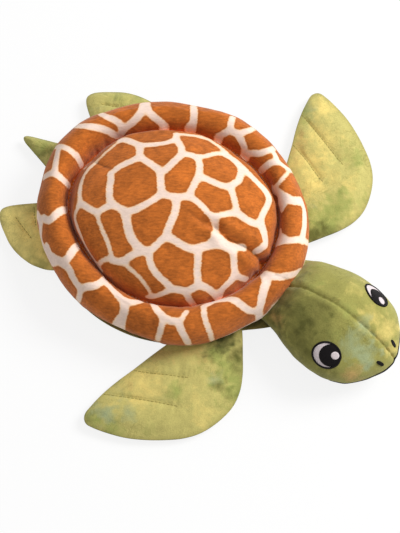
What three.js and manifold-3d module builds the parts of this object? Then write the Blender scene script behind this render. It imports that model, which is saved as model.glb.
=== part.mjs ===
// A plush sea turtle, lying on its belly with its head along -Y. Lengths are millimetres.
// The origin is the middle of the belly's flat resting face, and the turtle's left is +X.
import * as THREE from "three";
import { mergeVertices } from "three/addons/utils/BufferGeometryUtils.js";
import Module from "manifold-3d";

const wasm = await Module();
wasm.setup();

// Cloth, thread and the room between sewn pieces
const clothThickness = 2;
const flipperClothThickness = 1.3;
const seatGap = 0.3;
const threadRadius = 0.7;
const embroideryThickness = 0.8;
const cutOverrun = 40;

// Shell: an oval dome inside a stuffed rim, over a belly that is flat where it rests
const shellHalfWidth = 102;
const shellHalfLength = 109;
const shellHeight = 67;
const domeFullness = 2.3;
const rimWidth = 28;
const rimCrestInset = 13;
const rimCrestHeight = 47;
const rimBulgeHeight = 26;
const creaseHeight = 33;
const creaseHalfWidth = 1.6;
const seamInset = 6;
const seamHeight = 9;
const bellyFlatInset = 30;

// Head and neck: one swelling form that leaves the rim and ends in a blunt nose
const neckSink = 11;
const headLength = 106;
const headHalfWidth = 41.5;
const headHeight = 57;
const neckPivotDepth = 49;
const neckPivotHeight = 24;
const neckTurnRadius = 58;
const neckSliceLength = 8;
const drumGap = 0.5;
const jawSeamHeight = 19;
const mouthLength = 31;
const mouthWidth = 1.8;

// Embroidered face
const eyeHalfWidth = 11.5;
const eyeHalfHeight = 10.7;
const eyeRingWidth = 1.5;
const eyeSetback = 39.4;
const eyeHeight = 43;
const pupilRadius = 7.8;
const pupilForward = 2.7;
const pupilRise = 1.2;
const highlightRadius = 2.8;
const highlightForward = 5.3;
const highlightRise = 2.9;
const nostrilHalfLength = 4;
const nostrilHalfWidth = 1.5;
const nostrilSetback = 7;
const nostrilHeight = 30;

// Flippers and tail: stuffed pillows, each sewn into the seam under the rim along a straight root
const rootBeadRadius = 1.7;
const frontFlipperReach = 66;
const frontFlipperSweep = 103;
const frontFlipperHalfThickness = 5.6;
const rearFlipperReach = 33;
const rearFlipperSweep = 33;
const rearFlipperHalfThickness = 5;
const tailReach = 41;
const tailHalfWidth = 13;
const tailHalfThickness = 5.5;
const flipperDroop = THREE.MathUtils.degToRad(3);
const pillowFullness = 2.2;
const pillowSharpness = 0.8;

// How finely the rounded forms are faceted
const shellSegments = 32;
const headSegments = 24;
const drumSegments = 60;
const threadSides = 5;
const eyeSegments = 16;
const frontOutlinePoints = { edge: 20, root: 4 };
const rearOutlinePoints = { edge: 13, root: 3 };
const tailOutlinePoints = { edge: 12, root: 2 };

// Where each limb leaves the shell, as an angle around the seam from +X
const frontRootAngle = THREE.MathUtils.degToRad(-47.6);
const rearRootAngle = THREE.MathUtils.degToRad(50.7);
const tailRootAngle = THREE.MathUtils.degToRad(90);

// Where the dome's rings lie, as shares of its radius, and a quarter turn in three steps
const domeRingShares = [0.25, 0.48, 0.68, 0.84, 0.95, 1];
const quarterTurnShares = [1 / 3, 2 / 3, 1];

// Outlines in shares of reach (away from the shell) and sweep (along the root): the free edge,
// from the root's front end round the tip to its rear end
const frontEdgeShares = [
  [0, -0.25], [0.2, -0.228], [0.42, -0.195], [0.6, -0.15], [0.76, -0.075], [0.89, 0.045],
  [0.98, 0.19], [1, 0.32], [0.975, 0.455], [0.925, 0.6], [0.855, 0.735], [0.76, 0.855],
  [0.66, 0.955], [0.6, 0.995], [0.52, 0.99], [0.435, 0.93], [0.325, 0.83], [0.22, 0.71],
  [0.125, 0.58], [0, 0.38],
];
const rearEdgeShares = [
  [0, -0.86], [0.18, -0.78], [0.34, -0.7], [0.61, -0.42], [0.79, -0.11], [0.89, 0.2],
  [0.98, 0.55], [1, 0.74], [0.95, 0.9], [0.8, 0.985], [0.6, 0.99], [0.36, 0.95], [0, 0.84],
];
const tailEdgeShares = [
  [0, -1], [0.2, -0.88], [0.42, -0.66], [0.7, -0.35], [0.93, -0.14], [1, 0],
  [0.93, 0.14], [0.7, 0.35], [0.42, 0.66], [0.2, 0.88], [0, 1],
];
const frontCentreShare = [0.5, 0.3];
const rearCentreShare = [0.46, 0.08];
const tailCentreShare = [0.36, 0];

// Sewn quilting lines on the flippers, in the same shares of reach and sweep
const frontStitchShares = {
  inner: [[0.12, 0.58], [0.2, 0.45], [0.28, 0.32], [0.36, 0.2]],
  outer: [[0.33, 0.83], [0.44, 0.66], [0.55, 0.49], [0.65, 0.32]],
};
const rearStitchShares = {
  inner: [[0.15, 0.72], [0.15, 0.5], [0.14, 0.22]],
  outer: [[0.62, 0.57], [0.45, 0.25], [0.25, -0.1]],
};

// Sections of the head from the neck's root to the nose: how far along, then the half-width as a
// share of the head's, then crown, widest level and underside as shares of the head's height
const headStationShares = [
  [0, 0.78, 0.76, 0.4, 0.07],
  [0.13, 0.8, 0.79, 0.4, 0.05],
  [0.22, 0.84, 0.85, 0.4, 0.035],
  [0.35, 0.935, 0.94, 0.39, 0.03],
  [0.465, 0.985, 1, 0.385, 0.025],
  [0.58, 1, 0.965, 0.38, 0.03],
  [0.68, 0.965, 0.885, 0.37, 0.035],
  [0.765, 0.885, 0.79, 0.36, 0.055],
  [0.845, 0.745, 0.69, 0.355, 0.09],
  [0.905, 0.575, 0.6, 0.35, 0.14],
  [0.96, 0.34, 0.5, 0.35, 0.215],
  [0.99, 0.15, 0.41, 0.35, 0.28],
];
const noseHeightShare = 0.35;

// Colours and finishes
const printedCloth = new THREE.MeshStandardMaterial({ color: 0xbb6f2e, roughness: 0.95 });
const greenCloth = new THREE.MeshStandardMaterial({ color: 0xaab070, roughness: 0.92 });
const headCloth = new THREE.MeshStandardMaterial({ color: 0x8f9355, roughness: 0.92 });
const fibreFill = new THREE.MeshStandardMaterial({ color: 0xf1efe8, roughness: 1 });
const creamThread = new THREE.MeshStandardMaterial({ color: 0xe9d9c4, roughness: 0.7 });
const greenThread = new THREE.MeshStandardMaterial({ color: 0x87904f, roughness: 0.7 });
const blackThread = new THREE.MeshStandardMaterial({ color: 0x17131a, roughness: 0.55 });
const whiteThread = new THREE.MeshStandardMaterial({ color: 0xf2f0f2, roughness: 0.55 });

const tau = 2 * Math.PI;
const lengthOverWidth = shellHalfLength / shellHalfWidth;

// Lofts

// A closed body through rings of equally many points. It ends in a point at each pole, or, with
// no poles, the last ring joins the first.
function loft(rings, firstPole, lastPole) {
  const count = rings[0].length;
  const points = rings.flat();
  const faces = [];
  const bands = firstPole ? rings.length - 1 : rings.length;
  for (let ring = 0; ring < bands; ring++) {
    const here = ring * count;
    const next = ((ring + 1) % rings.length) * count;
    for (let i = 0; i < count; i++) {
      const j = (i + 1) % count;
      faces.push(here + i, next + i, next + j, here + i, next + j, here + j);
    }
  }
  if (firstPole) {
    const last = (rings.length - 1) * count;
    points.push(firstPole, lastPole);
    for (let i = 0; i < count; i++) {
      const j = (i + 1) % count;
      faces.push(points.length - 2, i, j);
      faces.push(points.length - 1, last + j, last + i);
    }
  }
  const geometry = new THREE.BufferGeometry().setFromPoints(points);
  geometry.setIndex(facingOut(points, faces));
  geometry.computeVertexNormals();
  return geometry;
}

// The faces as they are, or turned round where they enclose a negative volume
function facingOut(points, faces) {
  let volume = 0;
  for (let k = 0; k < faces.length; k += 3) {
    const [a, b, c] = [points[faces[k]], points[faces[k + 1]], points[faces[k + 2]]];
    volume += a.dot(new THREE.Vector3().crossVectors(b, c));
  }
  return volume < 0 ? faces.slice().reverse() : faces;
}

// Cutting and joining

function solidOf(geometry) {
  const bare = geometry.clone();
  bare.deleteAttribute("normal");
  bare.deleteAttribute("uv");
  const merged = mergeVertices(bare);
  const vertProperties = merged.attributes.position.array;
  return new wasm.Manifold(
    new wasm.Mesh({ numProp: 3, vertProperties, triVerts: new Uint32Array(merged.index.array) }),
  );
}

function geometryOf(solid) {
  const mesh = solid.getMesh();
  const geometry = new THREE.BufferGeometry();
  geometry.setAttribute("position", new THREE.BufferAttribute(mesh.vertProperties, 3));
  geometry.setIndex(new THREE.BufferAttribute(mesh.triVerts, 1));
  geometry.computeVertexNormals();
  return geometry;
}

function piece(name, geometry, material) {
  const mesh = new THREE.Mesh(geometry, material);
  mesh.name = name;
  return mesh;
}

// Shell

// Profiles run in the plane of the shell's half-width, as distance from the axis and height
function domeProfile() {
  const edge = shellHalfWidth - rimWidth - creaseHalfWidth;
  const rise = shellHeight - creaseHeight;
  return domeRingShares.map((share) => {
    const height = creaseHeight + rise * Math.sqrt(1 - share ** domeFullness);
    return new THREE.Vector2(edge * share, height);
  });
}

function rimUnderRadius() {
  const drop = rimBulgeHeight - seamHeight;
  return (seamInset ** 2 + drop ** 2) / (2 * seamInset);
}

function rimProfile() {
  const foot = shellHalfWidth - rimWidth + creaseHalfWidth;
  const crest = shellHalfWidth - rimCrestInset;
  const climb = rimCrestHeight - creaseHeight;
  const fall = rimCrestHeight - rimBulgeHeight;
  const under = rimUnderRadius();
  const lean = Math.asin((rimBulgeHeight - seamHeight) / under);
  const points = [new THREE.Vector2(foot, creaseHeight)];
  for (const share of quarterTurnShares) {
    const turn = (share * Math.PI) / 2;
    const height = creaseHeight + climb * Math.sin(turn);
    points.push(new THREE.Vector2(crest - (crest - foot) * Math.cos(turn), height));
  }
  for (const share of quarterTurnShares) {
    const turn = (share * Math.PI) / 2;
    const height = rimBulgeHeight + fall * Math.cos(turn);
    points.push(new THREE.Vector2(crest + rimCrestInset * Math.sin(turn), height));
  }
  for (const share of quarterTurnShares.slice(1)) {
    const turn = share * lean;
    const across = shellHalfWidth - under * (1 - Math.cos(turn));
    points.push(new THREE.Vector2(across, rimBulgeHeight - under * Math.sin(turn)));
  }
  return points;
}

function bellyProfile() {
  const seam = shellHalfWidth - seamInset;
  const flat = shellHalfWidth - bellyFlatInset;
  const points = [];
  for (const share of [0, ...quarterTurnShares]) {
    const turn = (share * Math.PI) / 2;
    const across = flat + (seam - flat) * Math.cos(turn);
    points.push(new THREE.Vector2(across, seamHeight * (1 - Math.sin(turn))));
  }
  return points;
}

// The profile moved sideways by a distance, to the left of its own direction
function offsetProfile(profile, distance) {
  return profile.map((point, i) => {
    const before = profile[Math.max(i - 1, 0)];
    const after = profile[Math.min(i + 1, profile.length - 1)];
    const along = after.clone().sub(before).normalize();
    return new THREE.Vector2(point.x - along.y * distance, point.y + along.x * distance);
  });
}

function ovalRing({ x: across, y: height }) {
  return Array.from({ length: shellSegments }, (_, i) => {
    const turn = (i / shellSegments) * tau;
    const along = across * lengthOverWidth * Math.sin(turn);
    return new THREE.Vector3(across * Math.cos(turn), along, height);
  });
}

function axisPoint(height) {
  return new THREE.Vector3(0, 0, height);
}

function shellTopPanel() {
  const outer = [...domeProfile(), ...rimProfile()];
  const inner = offsetProfile(outer, -clothThickness).reverse();
  const rings = [...outer, ...inner].map(ovalRing);
  return loft(rings, axisPoint(shellHeight), axisPoint(shellHeight - clothThickness));
}

// Cloth that thins to an edge at the seam, where it lies just under the printed panel
function bellyPanel() {
  const outer = bellyProfile();
  outer[0].y -= seatGap;
  const inner = outer.map((point, i) => {
    const rise = (clothThickness * i) / (outer.length - 1);
    return new THREE.Vector2(point.x - clothThickness, point.y + rise);
  });
  const rings = [...outer.slice().reverse(), ...inner].map(ovalRing);
  return loft(rings, axisPoint(0), axisPoint(clothThickness));
}

// The upright wall between the dome's filling and the rim's, below the crease
const fillingWall = shellHalfWidth - rimWidth - creaseHalfWidth - clothThickness - seatGap;
const bellyFillLevel = clothThickness + seatGap;

function domeStuffing() {
  const inset = clothThickness + seatGap;
  const top = offsetProfile(domeProfile(), -inset).slice(0, -1);
  const foot = new THREE.Vector2(fillingWall - seatGap, creaseHeight - inset);
  const floor = Math.min(fillingWall, shellHalfWidth - bellyFlatInset - inset) - seatGap;
  const rings = [...top, foot, new THREE.Vector2(floor, bellyFillLevel + seatGap)].map(ovalRing);
  return loft(rings, axisPoint(shellHeight - inset), axisPoint(bellyFillLevel));
}

function rimStuffing() {
  const inset = clothThickness + seatGap;
  const outer = offsetProfile(rimProfile(), -inset);
  const wall = fillingWall + seatGap;
  const low = bellyProfile()[1];
  const foot = shellHalfWidth - rimWidth + creaseHalfWidth;
  outer[0].set(foot + inset, creaseHeight - inset - seatGap);
  outer.push(new THREE.Vector2(low.x - inset, low.y + inset));
  outer.push(new THREE.Vector2(wall, bellyFillLevel + seatGap));
  outer.push(new THREE.Vector2(wall, creaseHeight - inset - seatGap));
  return loft(outer.map(ovalRing));
}

function channelStitch() {
  const across = shellHalfWidth - rimWidth;
  const height = creaseHeight + seatGap + threadRadius;
  const rings = Array.from({ length: threadSides }, (_, i) => {
    const turn = (i / threadSides) * tau;
    const side = across + threadRadius * Math.cos(turn);
    return ovalRing(new THREE.Vector2(side, height + threadRadius * Math.sin(turn)));
  });
  return loft(rings);
}

// The whole outside of the shell, grown by the gap that a neighbour keeps to it
function shellEnvelope() {
  const outside = [...domeProfile(), ...rimProfile(), ...bellyProfile().slice(1)];
  const rings = offsetProfile(outside, seatGap).map(ovalRing);
  return solidOf(loft(rings, axisPoint(shellHeight + seatGap), axisPoint(-seatGap)));
}

// Head and neck

const neckRoot = -(shellHalfLength - neckSink);
const noseTip = neckRoot - headLength;
const pivot = new THREE.Vector3(0, neckPivotDepth - shellHalfLength, neckPivotHeight);
const nodRadius = neckTurnRadius + neckSliceLength;

// The section at a distance along the head, between the two stations that it lies between
function headSection(along) {
  const stations = headStationShares;
  const found = stations.findIndex((station) => station[0] > along);
  const after = found < 1 ? stations.length - 1 : found;
  const [a, b] = [stations[after - 1], stations[after]];
  const share = (along - a[0]) / (b[0] - a[0]);
  const [halfWidth, crown, level, under] = a.slice(1).map((value, k) => {
    return value + (b[k + 1] - value) * share;
  });
  return {
    halfWidth: halfWidth * headHalfWidth,
    crown: crown * headHeight,
    level: level * headHeight,
    under: under * headHeight,
  };
}

// The head's form, with its skin moved inward by a distance
function headForm(inset) {
  const rings = headStationShares.map(([along]) => {
    const { halfWidth, crown, level, under } = headSection(along);
    const y = THREE.MathUtils.lerp(neckRoot, noseTip + inset, along);
    return Array.from({ length: headSegments }, (_, i) => {
      const turn = (i / headSegments) * tau;
      const rise = Math.sin(turn) > 0 ? crown - inset - level : level - under - inset;
      const across = (halfWidth - inset) * Math.cos(turn);
      return new THREE.Vector3(across, y, level + rise * Math.sin(turn));
    });
  });
  const nose = new THREE.Vector3(0, noseTip + inset, noseHeightShare * headHeight);
  const root = new THREE.Vector3(0, neckRoot, headSection(0).level);
  return solidOf(loft(rings, root, nose));
}

// Round the pivot the neck is parted on two drums, so that its parts slide past each other: an
// upright one for turning left and right, and one lying across for nodding
function turnDrum(radius) {
  const span = 2 * (headHeight + cutOverrun);
  const drum = new THREE.CylinderGeometry(radius, radius, span, drumSegments);
  return solidOf(drum.rotateX(Math.PI / 2).translate(pivot.x, pivot.y, pivot.z));
}

function nodDrum(radius) {
  const span = 2 * (headHalfWidth + cutOverrun);
  const drum = new THREE.CylinderGeometry(radius, radius, span, drumSegments);
  return solidOf(drum.rotateZ(Math.PI / 2).translate(pivot.x, pivot.y, pivot.z));
}

// A box that holds everything on one side of the head's middle, or above or below its jaw seam
function halfSpace(lowX, highX, lowZ, highZ) {
  const depth = 2 * (headLength + cutOverrun);
  const box = new THREE.BoxGeometry(highX - lowX, depth, highZ - lowZ);
  return solidOf(box.translate((lowX + highX) / 2, neckRoot, (lowZ + highZ) / 2));
}

function neckBase() {
  return geometryOf(headForm(0).intersect(turnDrum(neckTurnRadius)).subtract(shellEnvelope()));
}

function neckSlice() {
  const outer = headForm(0).intersect(nodDrum(nodRadius));
  return geometryOf(outer.subtract(turnDrum(neckTurnRadius + drumGap)));
}

function headPanels() {
  const skin = headForm(0).subtract(headForm(clothThickness)).subtract(nodDrum(nodRadius + drumGap));
  const far = headHalfWidth + cutOverrun;
  const top = headHeight + cutOverrun;
  const half = seatGap / 2;
  const above = jawSeamHeight + half;
  return {
    crown_left_panel: skin.intersect(halfSpace(half, far, above, top)),
    crown_right_panel: skin.intersect(halfSpace(-far, -half, above, top)),
    chin_panel: skin.intersect(halfSpace(-far, far, -cutOverrun, jawSeamHeight - half)),
  };
}

function headStuffing() {
  return geometryOf(headForm(clothThickness + seatGap).subtract(nodDrum(nodRadius + drumGap)));
}

// Face

// The thin layer over the head's skin that embroidery fills
function embroideryLayer() {
  return headForm(-seatGap - embroideryThickness).subtract(headForm(-seatGap));
}

// A point of the left half of the head's skin, with the direction that faces out of it
function skinPoint(setback, height) {
  const along = 1 - setback / headLength;
  const section = headSection(along);
  const rise = section.crown - section.level;
  const climb = (height - section.level) / rise;
  const across = section.halfWidth * Math.sqrt(1 - climb ** 2);
  const point = new THREE.Vector3(across, noseTip + setback, height);
  const slope = (across / section.halfWidth ** 2) * rise;
  const facing = new THREE.Vector3(slope * rise, 0, climb * rise).normalize();
  return { point, facing };
}

// An oval seen along its facing direction, moved in its own plane. There +X leads backwards
// along the head and +Y up to its crown.
function oval(halfWidth, halfHeight, shift = new THREE.Vector2()) {
  const curve = new THREE.EllipseCurve(shift.x, shift.y, halfWidth, halfHeight, 0, tau);
  return curve.getPoints(eyeSegments).slice(0, -1);
}

// A prism with this outline, pushed through the skin along the seat's facing direction
function pushedThrough(seat, outline) {
  const depth = headHalfWidth;
  const shape = new THREE.Shape(outline);
  const prism = new THREE.ExtrudeGeometry(shape, { depth, bevelEnabled: false });
  const forward = new THREE.Vector3(0, -1, 0);
  const up = new THREE.Vector3().crossVectors(forward, seat.facing).normalize();
  const side = new THREE.Vector3().crossVectors(up, seat.facing).normalize();
  const turned = new THREE.Matrix4().makeBasis(side, up, seat.facing);
  prism.translate(0, 0, -depth / 2).applyMatrix4(turned);
  prism.translate(seat.point.x, seat.point.y, seat.point.z);
  return solidOf(prism);
}

function eyePieces(layer) {
  const seat = skinPoint(eyeSetback, eyeHeight);
  const disc = (halfWidth, halfHeight, shift) => {
    return pushedThrough(seat, oval(halfWidth, halfHeight, shift));
  };
  const innerWidth = eyeHalfWidth - eyeRingWidth;
  const innerHeight = eyeHalfHeight - eyeRingWidth;
  const pupilAt = new THREE.Vector2(-pupilForward, pupilRise);
  const glintAt = new THREE.Vector2(-highlightForward, highlightRise);
  const ring = disc(eyeHalfWidth, eyeHalfHeight).subtract(disc(innerWidth, innerHeight));
  const inside = disc(innerWidth - seatGap, innerHeight - seatGap);
  const pupil = inside.intersect(disc(pupilRadius, pupilRadius, pupilAt));
  const grownPupil = disc(pupilRadius + seatGap, pupilRadius + seatGap, pupilAt);
  const glint = disc(highlightRadius, highlightRadius, glintAt);
  const grownGlint = disc(highlightRadius + seatGap, highlightRadius + seatGap, glintAt);
  return {
    outline: [geometryOf(layer.intersect(ring)), blackThread],
    white: [geometryOf(layer.intersect(inside.subtract(grownPupil))), whiteThread],
    pupil: [geometryOf(layer.intersect(pupil.subtract(grownGlint))), blackThread],
    highlight: [geometryOf(layer.intersect(glint)), whiteThread],
  };
}

function nostril(layer) {
  const { point } = skinPoint(nostrilSetback, nostrilHeight);
  const facing = new THREE.Vector3(point.x, -point.z, point.z).normalize();
  const outline = oval(nostrilHalfLength, nostrilHalfWidth);
  return geometryOf(layer.intersect(pushedThrough({ point, facing }, outline)));
}

function mouth(layer) {
  const width = 2 * (headHalfWidth + cutOverrun);
  const reach = mouthLength + cutOverrun;
  const slab = new THREE.BoxGeometry(width, reach, mouthWidth);
  slab.translate(0, noseTip + mouthLength - reach / 2, jawSeamHeight);
  return geometryOf(layer.intersect(solidOf(slab)));
}

// Flippers and tail

// The outline of a pillow: a smooth free edge, then the straight root back to its start
function pillowOutline(edgeShares, reach, sweep, edgePoints, rootPoints) {
  const corners = edgeShares.map(([out, along]) => {
    return new THREE.Vector3(out * reach, along * sweep, 0);
  });
  const curve = new THREE.CatmullRomCurve3(corners, false, "centripetal");
  const edge = curve.getSpacedPoints(edgePoints);
  const [start, end] = [edge[0], edge[edge.length - 1]];
  for (let i = 1; i < rootPoints; i++) edge.push(end.clone().lerp(start, i / rootPoints));
  return edge;
}

// Directions that point out of an outline in its own plane
function outwardNormals(outline) {
  return outline.map((point, i) => {
    const before = outline[(i + outline.length - 1) % outline.length];
    const after = outline[(i + 1) % outline.length];
    const onRoot = point.x === 0 && (before.x === 0 || after.x === 0);
    if (onRoot) return new THREE.Vector3(-1, 0, 0);
    const along = after.clone().sub(before).normalize();
    return new THREE.Vector3(along.y, -along.x, 0);
  });
}

// Where a pillow's rings lie, as shares of the way from its centre to its outline
const pillowRingShares = [0.45, 0.8];

// Half-thickness of a pillow at a share of the way from its centre to its outline
function pillowRise(share, halfThickness) {
  const swell = (1 - Math.min(share, 1) ** pillowFullness) ** pillowSharpness;
  return rootBeadRadius + (halfThickness - rootBeadRadius) * swell;
}

// One of the pillow's two cloth panels: its outside, its rounded seam edge and its inside
function pillowPanel(pillow, side) {
  const { outline, centre, halfThickness } = pillow;
  const normals = outwardNormals(outline);
  const half = seatGap / 2;
  const ring = (share, height, bulge) => {
    return outline.map((point, i) => {
      const inward = centre.clone().lerp(point, share);
      inward.addScaledVector(normals[i], bulge);
      inward.z = side * height;
      return inward;
    });
  };
  const rise = (share) => pillowRise(share, halfThickness);
  const rounded = rootBeadRadius * Math.SQRT1_2;
  const rings = [
    ring(pillowRingShares[0], rise(pillowRingShares[0]), 0),
    ring(pillowRingShares[1], rise(pillowRingShares[1]), 0),
    ring(1, rootBeadRadius, 0),
    ring(1, rounded, rounded),
    ring(1, half, rootBeadRadius),
    ring(1, half, -flipperClothThickness),
    ring(pillowRingShares[1], rise(pillowRingShares[1]) - flipperClothThickness, 0),
    ring(pillowRingShares[0], rise(pillowRingShares[0]) - flipperClothThickness, 0),
  ];
  const poleAt = (height) => new THREE.Vector3(centre.x, centre.y, side * height);
  return loft(rings, poleAt(rise(0)), poleAt(rise(0) - flipperClothThickness));
}

function pillowStuffing({ outline, centre, halfThickness }) {
  const inset = flipperClothThickness + seatGap;
  const nearest = Math.min(...outline.map((point) => point.distanceTo(centre)));
  const edgeShare = 1 - (inset + seatGap) / nearest;
  const ring = (share, side) => {
    const height = pillowRise(share, halfThickness) - inset;
    return outline.map((point) => {
      const inward = centre.clone().lerp(point, share * edgeShare);
      inward.z = side * height * edgeShare;
      return inward;
    });
  };
  const rings = [
    ring(pillowRingShares[0], 1), ring(pillowRingShares[1], 1), ring(1, 0),
    ring(pillowRingShares[1], -1), ring(pillowRingShares[0], -1),
  ];
  const deep = (halfThickness - inset) * edgeShare;
  const top = new THREE.Vector3(centre.x, centre.y, deep);
  return loft(rings, top, top.clone().setZ(-deep));
}

// How far past an edge's ends a ray may meet it, so that a ray through a corner still does
const cornerSlackShare = 1e-6;

// The height of the pillow's top over a point of its plane
function pillowHeightAt({ outline, centre, halfThickness }, point) {
  const ray = point.clone().sub(centre);
  let share = 0;
  outline.forEach((corner, i) => {
    const next = outline[(i + 1) % outline.length];
    const edge = next.clone().sub(corner);
    const toCorner = corner.clone().sub(centre);
    const crossing = ray.x * edge.y - ray.y * edge.x;
    const out = (toCorner.x * edge.y - toCorner.y * edge.x) / crossing;
    const across = (toCorner.x * ray.y - toCorner.y * ray.x) / crossing;
    const within = Math.abs(across - 0.5) <= 0.5 + cornerSlackShare;
    if (out > 0 && within) share = 1 / out;
  });
  return pillowRise(share, halfThickness);
}

// A thread along a quilting line, lying on the pillow's top
function quiltingStitch(pillow, lineShares) {
  const points = lineShares.map(([out, along]) => {
    return new THREE.Vector3(out * pillow.reach, along * pillow.sweep, 0);
  });
  const line = new THREE.CatmullRomCurve3(points).getSpacedPoints(2 * points.length);
  const path = line.map((point) => {
    const lift = pillowHeightAt(pillow, point) + seatGap + threadRadius;
    return point.clone().setZ(lift);
  });
  const up = new THREE.Vector3(0, 0, 1);
  const rings = path.map((point, i) => {
    const before = path[Math.max(i - 1, 0)];
    const after = path[Math.min(i + 1, path.length - 1)];
    const side = after.clone().sub(before).cross(up).normalize();
    return Array.from({ length: threadSides }, (_, k) => {
      const turn = (k / threadSides) * tau;
      const offset = side.clone().multiplyScalar(threadRadius * Math.cos(turn));
      offset.z += threadRadius * Math.sin(turn);
      return point.clone().add(offset);
    });
  });
  return loft(rings, path[0], path[path.length - 1]);
}

// A pillow: its outline and centre in the plane of its seam, with the sizes that made them
function pillowOf({ edgeShares, centreShare, reach, sweep, halfThickness, points }) {
  const outline = pillowOutline(edgeShares, reach, sweep, points.edge, points.root);
  const centre = new THREE.Vector3(centreShare[0] * reach, centreShare[1] * sweep, 0);
  return { outline, centre, reach, sweep, halfThickness };
}

// A group at a limb's root, whose +X leads away from the shell and whose +Y runs along the root.
// The root's line lies outside the seam by as much as its bead needs to turn in.
function rootGroup(angle) {
  const seam = shellHalfWidth - seamInset;
  const under = rimUnderRadius();
  const lean = Math.PI / 2 - Math.asin((rimBulgeHeight - seamHeight) / under);
  const clear = (rootBeadRadius + seatGap) / Math.sin(lean);
  const [x, y] = [seam * Math.cos(angle), seam * lengthOverWidth * Math.sin(angle)];
  const outward = Math.atan2(Math.sin(angle) / lengthOverWidth, Math.cos(angle));
  const group = new THREE.Group();
  group.position.set(x + clear * Math.cos(outward), y + clear * Math.sin(outward), seamHeight);
  group.rotation.z = outward;
  return group;
}

function addPillow(parent, name, pillow, stitches = {}) {
  parent.add(piece(name + "_upper_panel", pillowPanel(pillow, 1), greenCloth));
  parent.add(piece(name + "_lower_panel", pillowPanel(pillow, -1), greenCloth));
  parent.add(piece(name + "_stuffing", pillowStuffing(pillow), fibreFill));
  for (const [line, shares] of Object.entries(stitches)) {
    const stitch = quiltingStitch(pillow, shares);
    parent.add(piece(name + "_" + line + "_stitch", stitch, greenThread));
  }
}

// A limb hangs a little below level, so that it lies towards the floor
function drooping(parent, angle) {
  const limb = new THREE.Group();
  limb.rotation.y = angle;
  parent.add(limb);
  return limb;
}

const frontPillow = pillowOf({
  edgeShares: frontEdgeShares,
  centreShare: frontCentreShare,
  reach: frontFlipperReach,
  sweep: frontFlipperSweep,
  halfThickness: frontFlipperHalfThickness,
  points: frontOutlinePoints,
});
const rearPillow = pillowOf({
  edgeShares: rearEdgeShares,
  centreShare: rearCentreShare,
  reach: rearFlipperReach,
  sweep: rearFlipperSweep,
  halfThickness: rearFlipperHalfThickness,
  points: rearOutlinePoints,
});
const tailPillow = pillowOf({
  edgeShares: tailEdgeShares,
  centreShare: tailCentreShare,
  reach: tailReach,
  sweep: tailHalfWidth,
  halfThickness: tailHalfThickness,
  points: tailOutlinePoints,
});

// Assembly

const turtle = new THREE.Group();

const shell = new THREE.Group();
shell.add(piece("shell_top_panel", shellTopPanel(), printedCloth));
shell.add(piece("channel_stitch", channelStitch(), creamThread));
shell.add(piece("dome_stuffing", domeStuffing(), fibreFill));
shell.add(piece("rim_stuffing", rimStuffing(), fibreFill));
shell.add(piece("belly_panel", bellyPanel(), greenCloth));
turtle.add(shell);

const head = new THREE.Group();
head.add(piece("neck_base", neckBase(), headCloth));
head.add(piece("neck_slice", neckSlice(), headCloth));
for (const [name, solid] of Object.entries(headPanels())) {
  head.add(piece(name, geometryOf(solid), headCloth));
}
head.add(piece("head_stuffing", headStuffing(), fibreFill));
turtle.add(head);

const layer = embroideryLayer();
head.add(piece("mouth_stitch", mouth(layer), blackThread));
for (const [side, mirror] of [["left", 1], ["right", -1]]) {
  const half = new THREE.Group();
  half.scale.x = mirror;
  for (const [part, [geometry, thread]] of Object.entries(eyePieces(layer))) {
    half.add(piece(side + "_eye_" + part, geometry, thread));
  }
  half.add(piece(side + "_nostril", nostril(layer), blackThread));
  const frontRoot = rootGroup(frontRootAngle);
  addPillow(
    drooping(frontRoot, flipperDroop), side + "_front_flipper", frontPillow, frontStitchShares,
  );
  const rearRoot = rootGroup(rearRootAngle);
  addPillow(
    drooping(rearRoot, flipperDroop), side + "_rear_flipper", rearPillow, rearStitchShares,
  );
  half.add(frontRoot, rearRoot);
  turtle.add(half);
}

const tailRoot = rootGroup(tailRootAngle);
addPillow(drooping(tailRoot, flipperDroop), "tail", tailPillow);
turtle.add(tailRoot);

export default turtle;
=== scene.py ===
# %% [markdown]
# # A plush sea turtle with a giraffe-print shell
# This lesson dresses a turtle in cloth. The frame, model.glb, brings plain solids; here each
# stuffed part gets a sewn skin that rides on its body. Lengths in the cells are
# millimetres, and only the finished meshes are turned into Blender's metres. The turtle lies on
# its belly with its head along -Y and its left side at +X.

# %% Load the frame
import math

import bmesh
import bpy
import numpy as np
from mathutils import Matrix, Vector, noise
from mathutils.bvhtree import BVHTree
from mathutils.kdtree import KDTree


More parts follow.
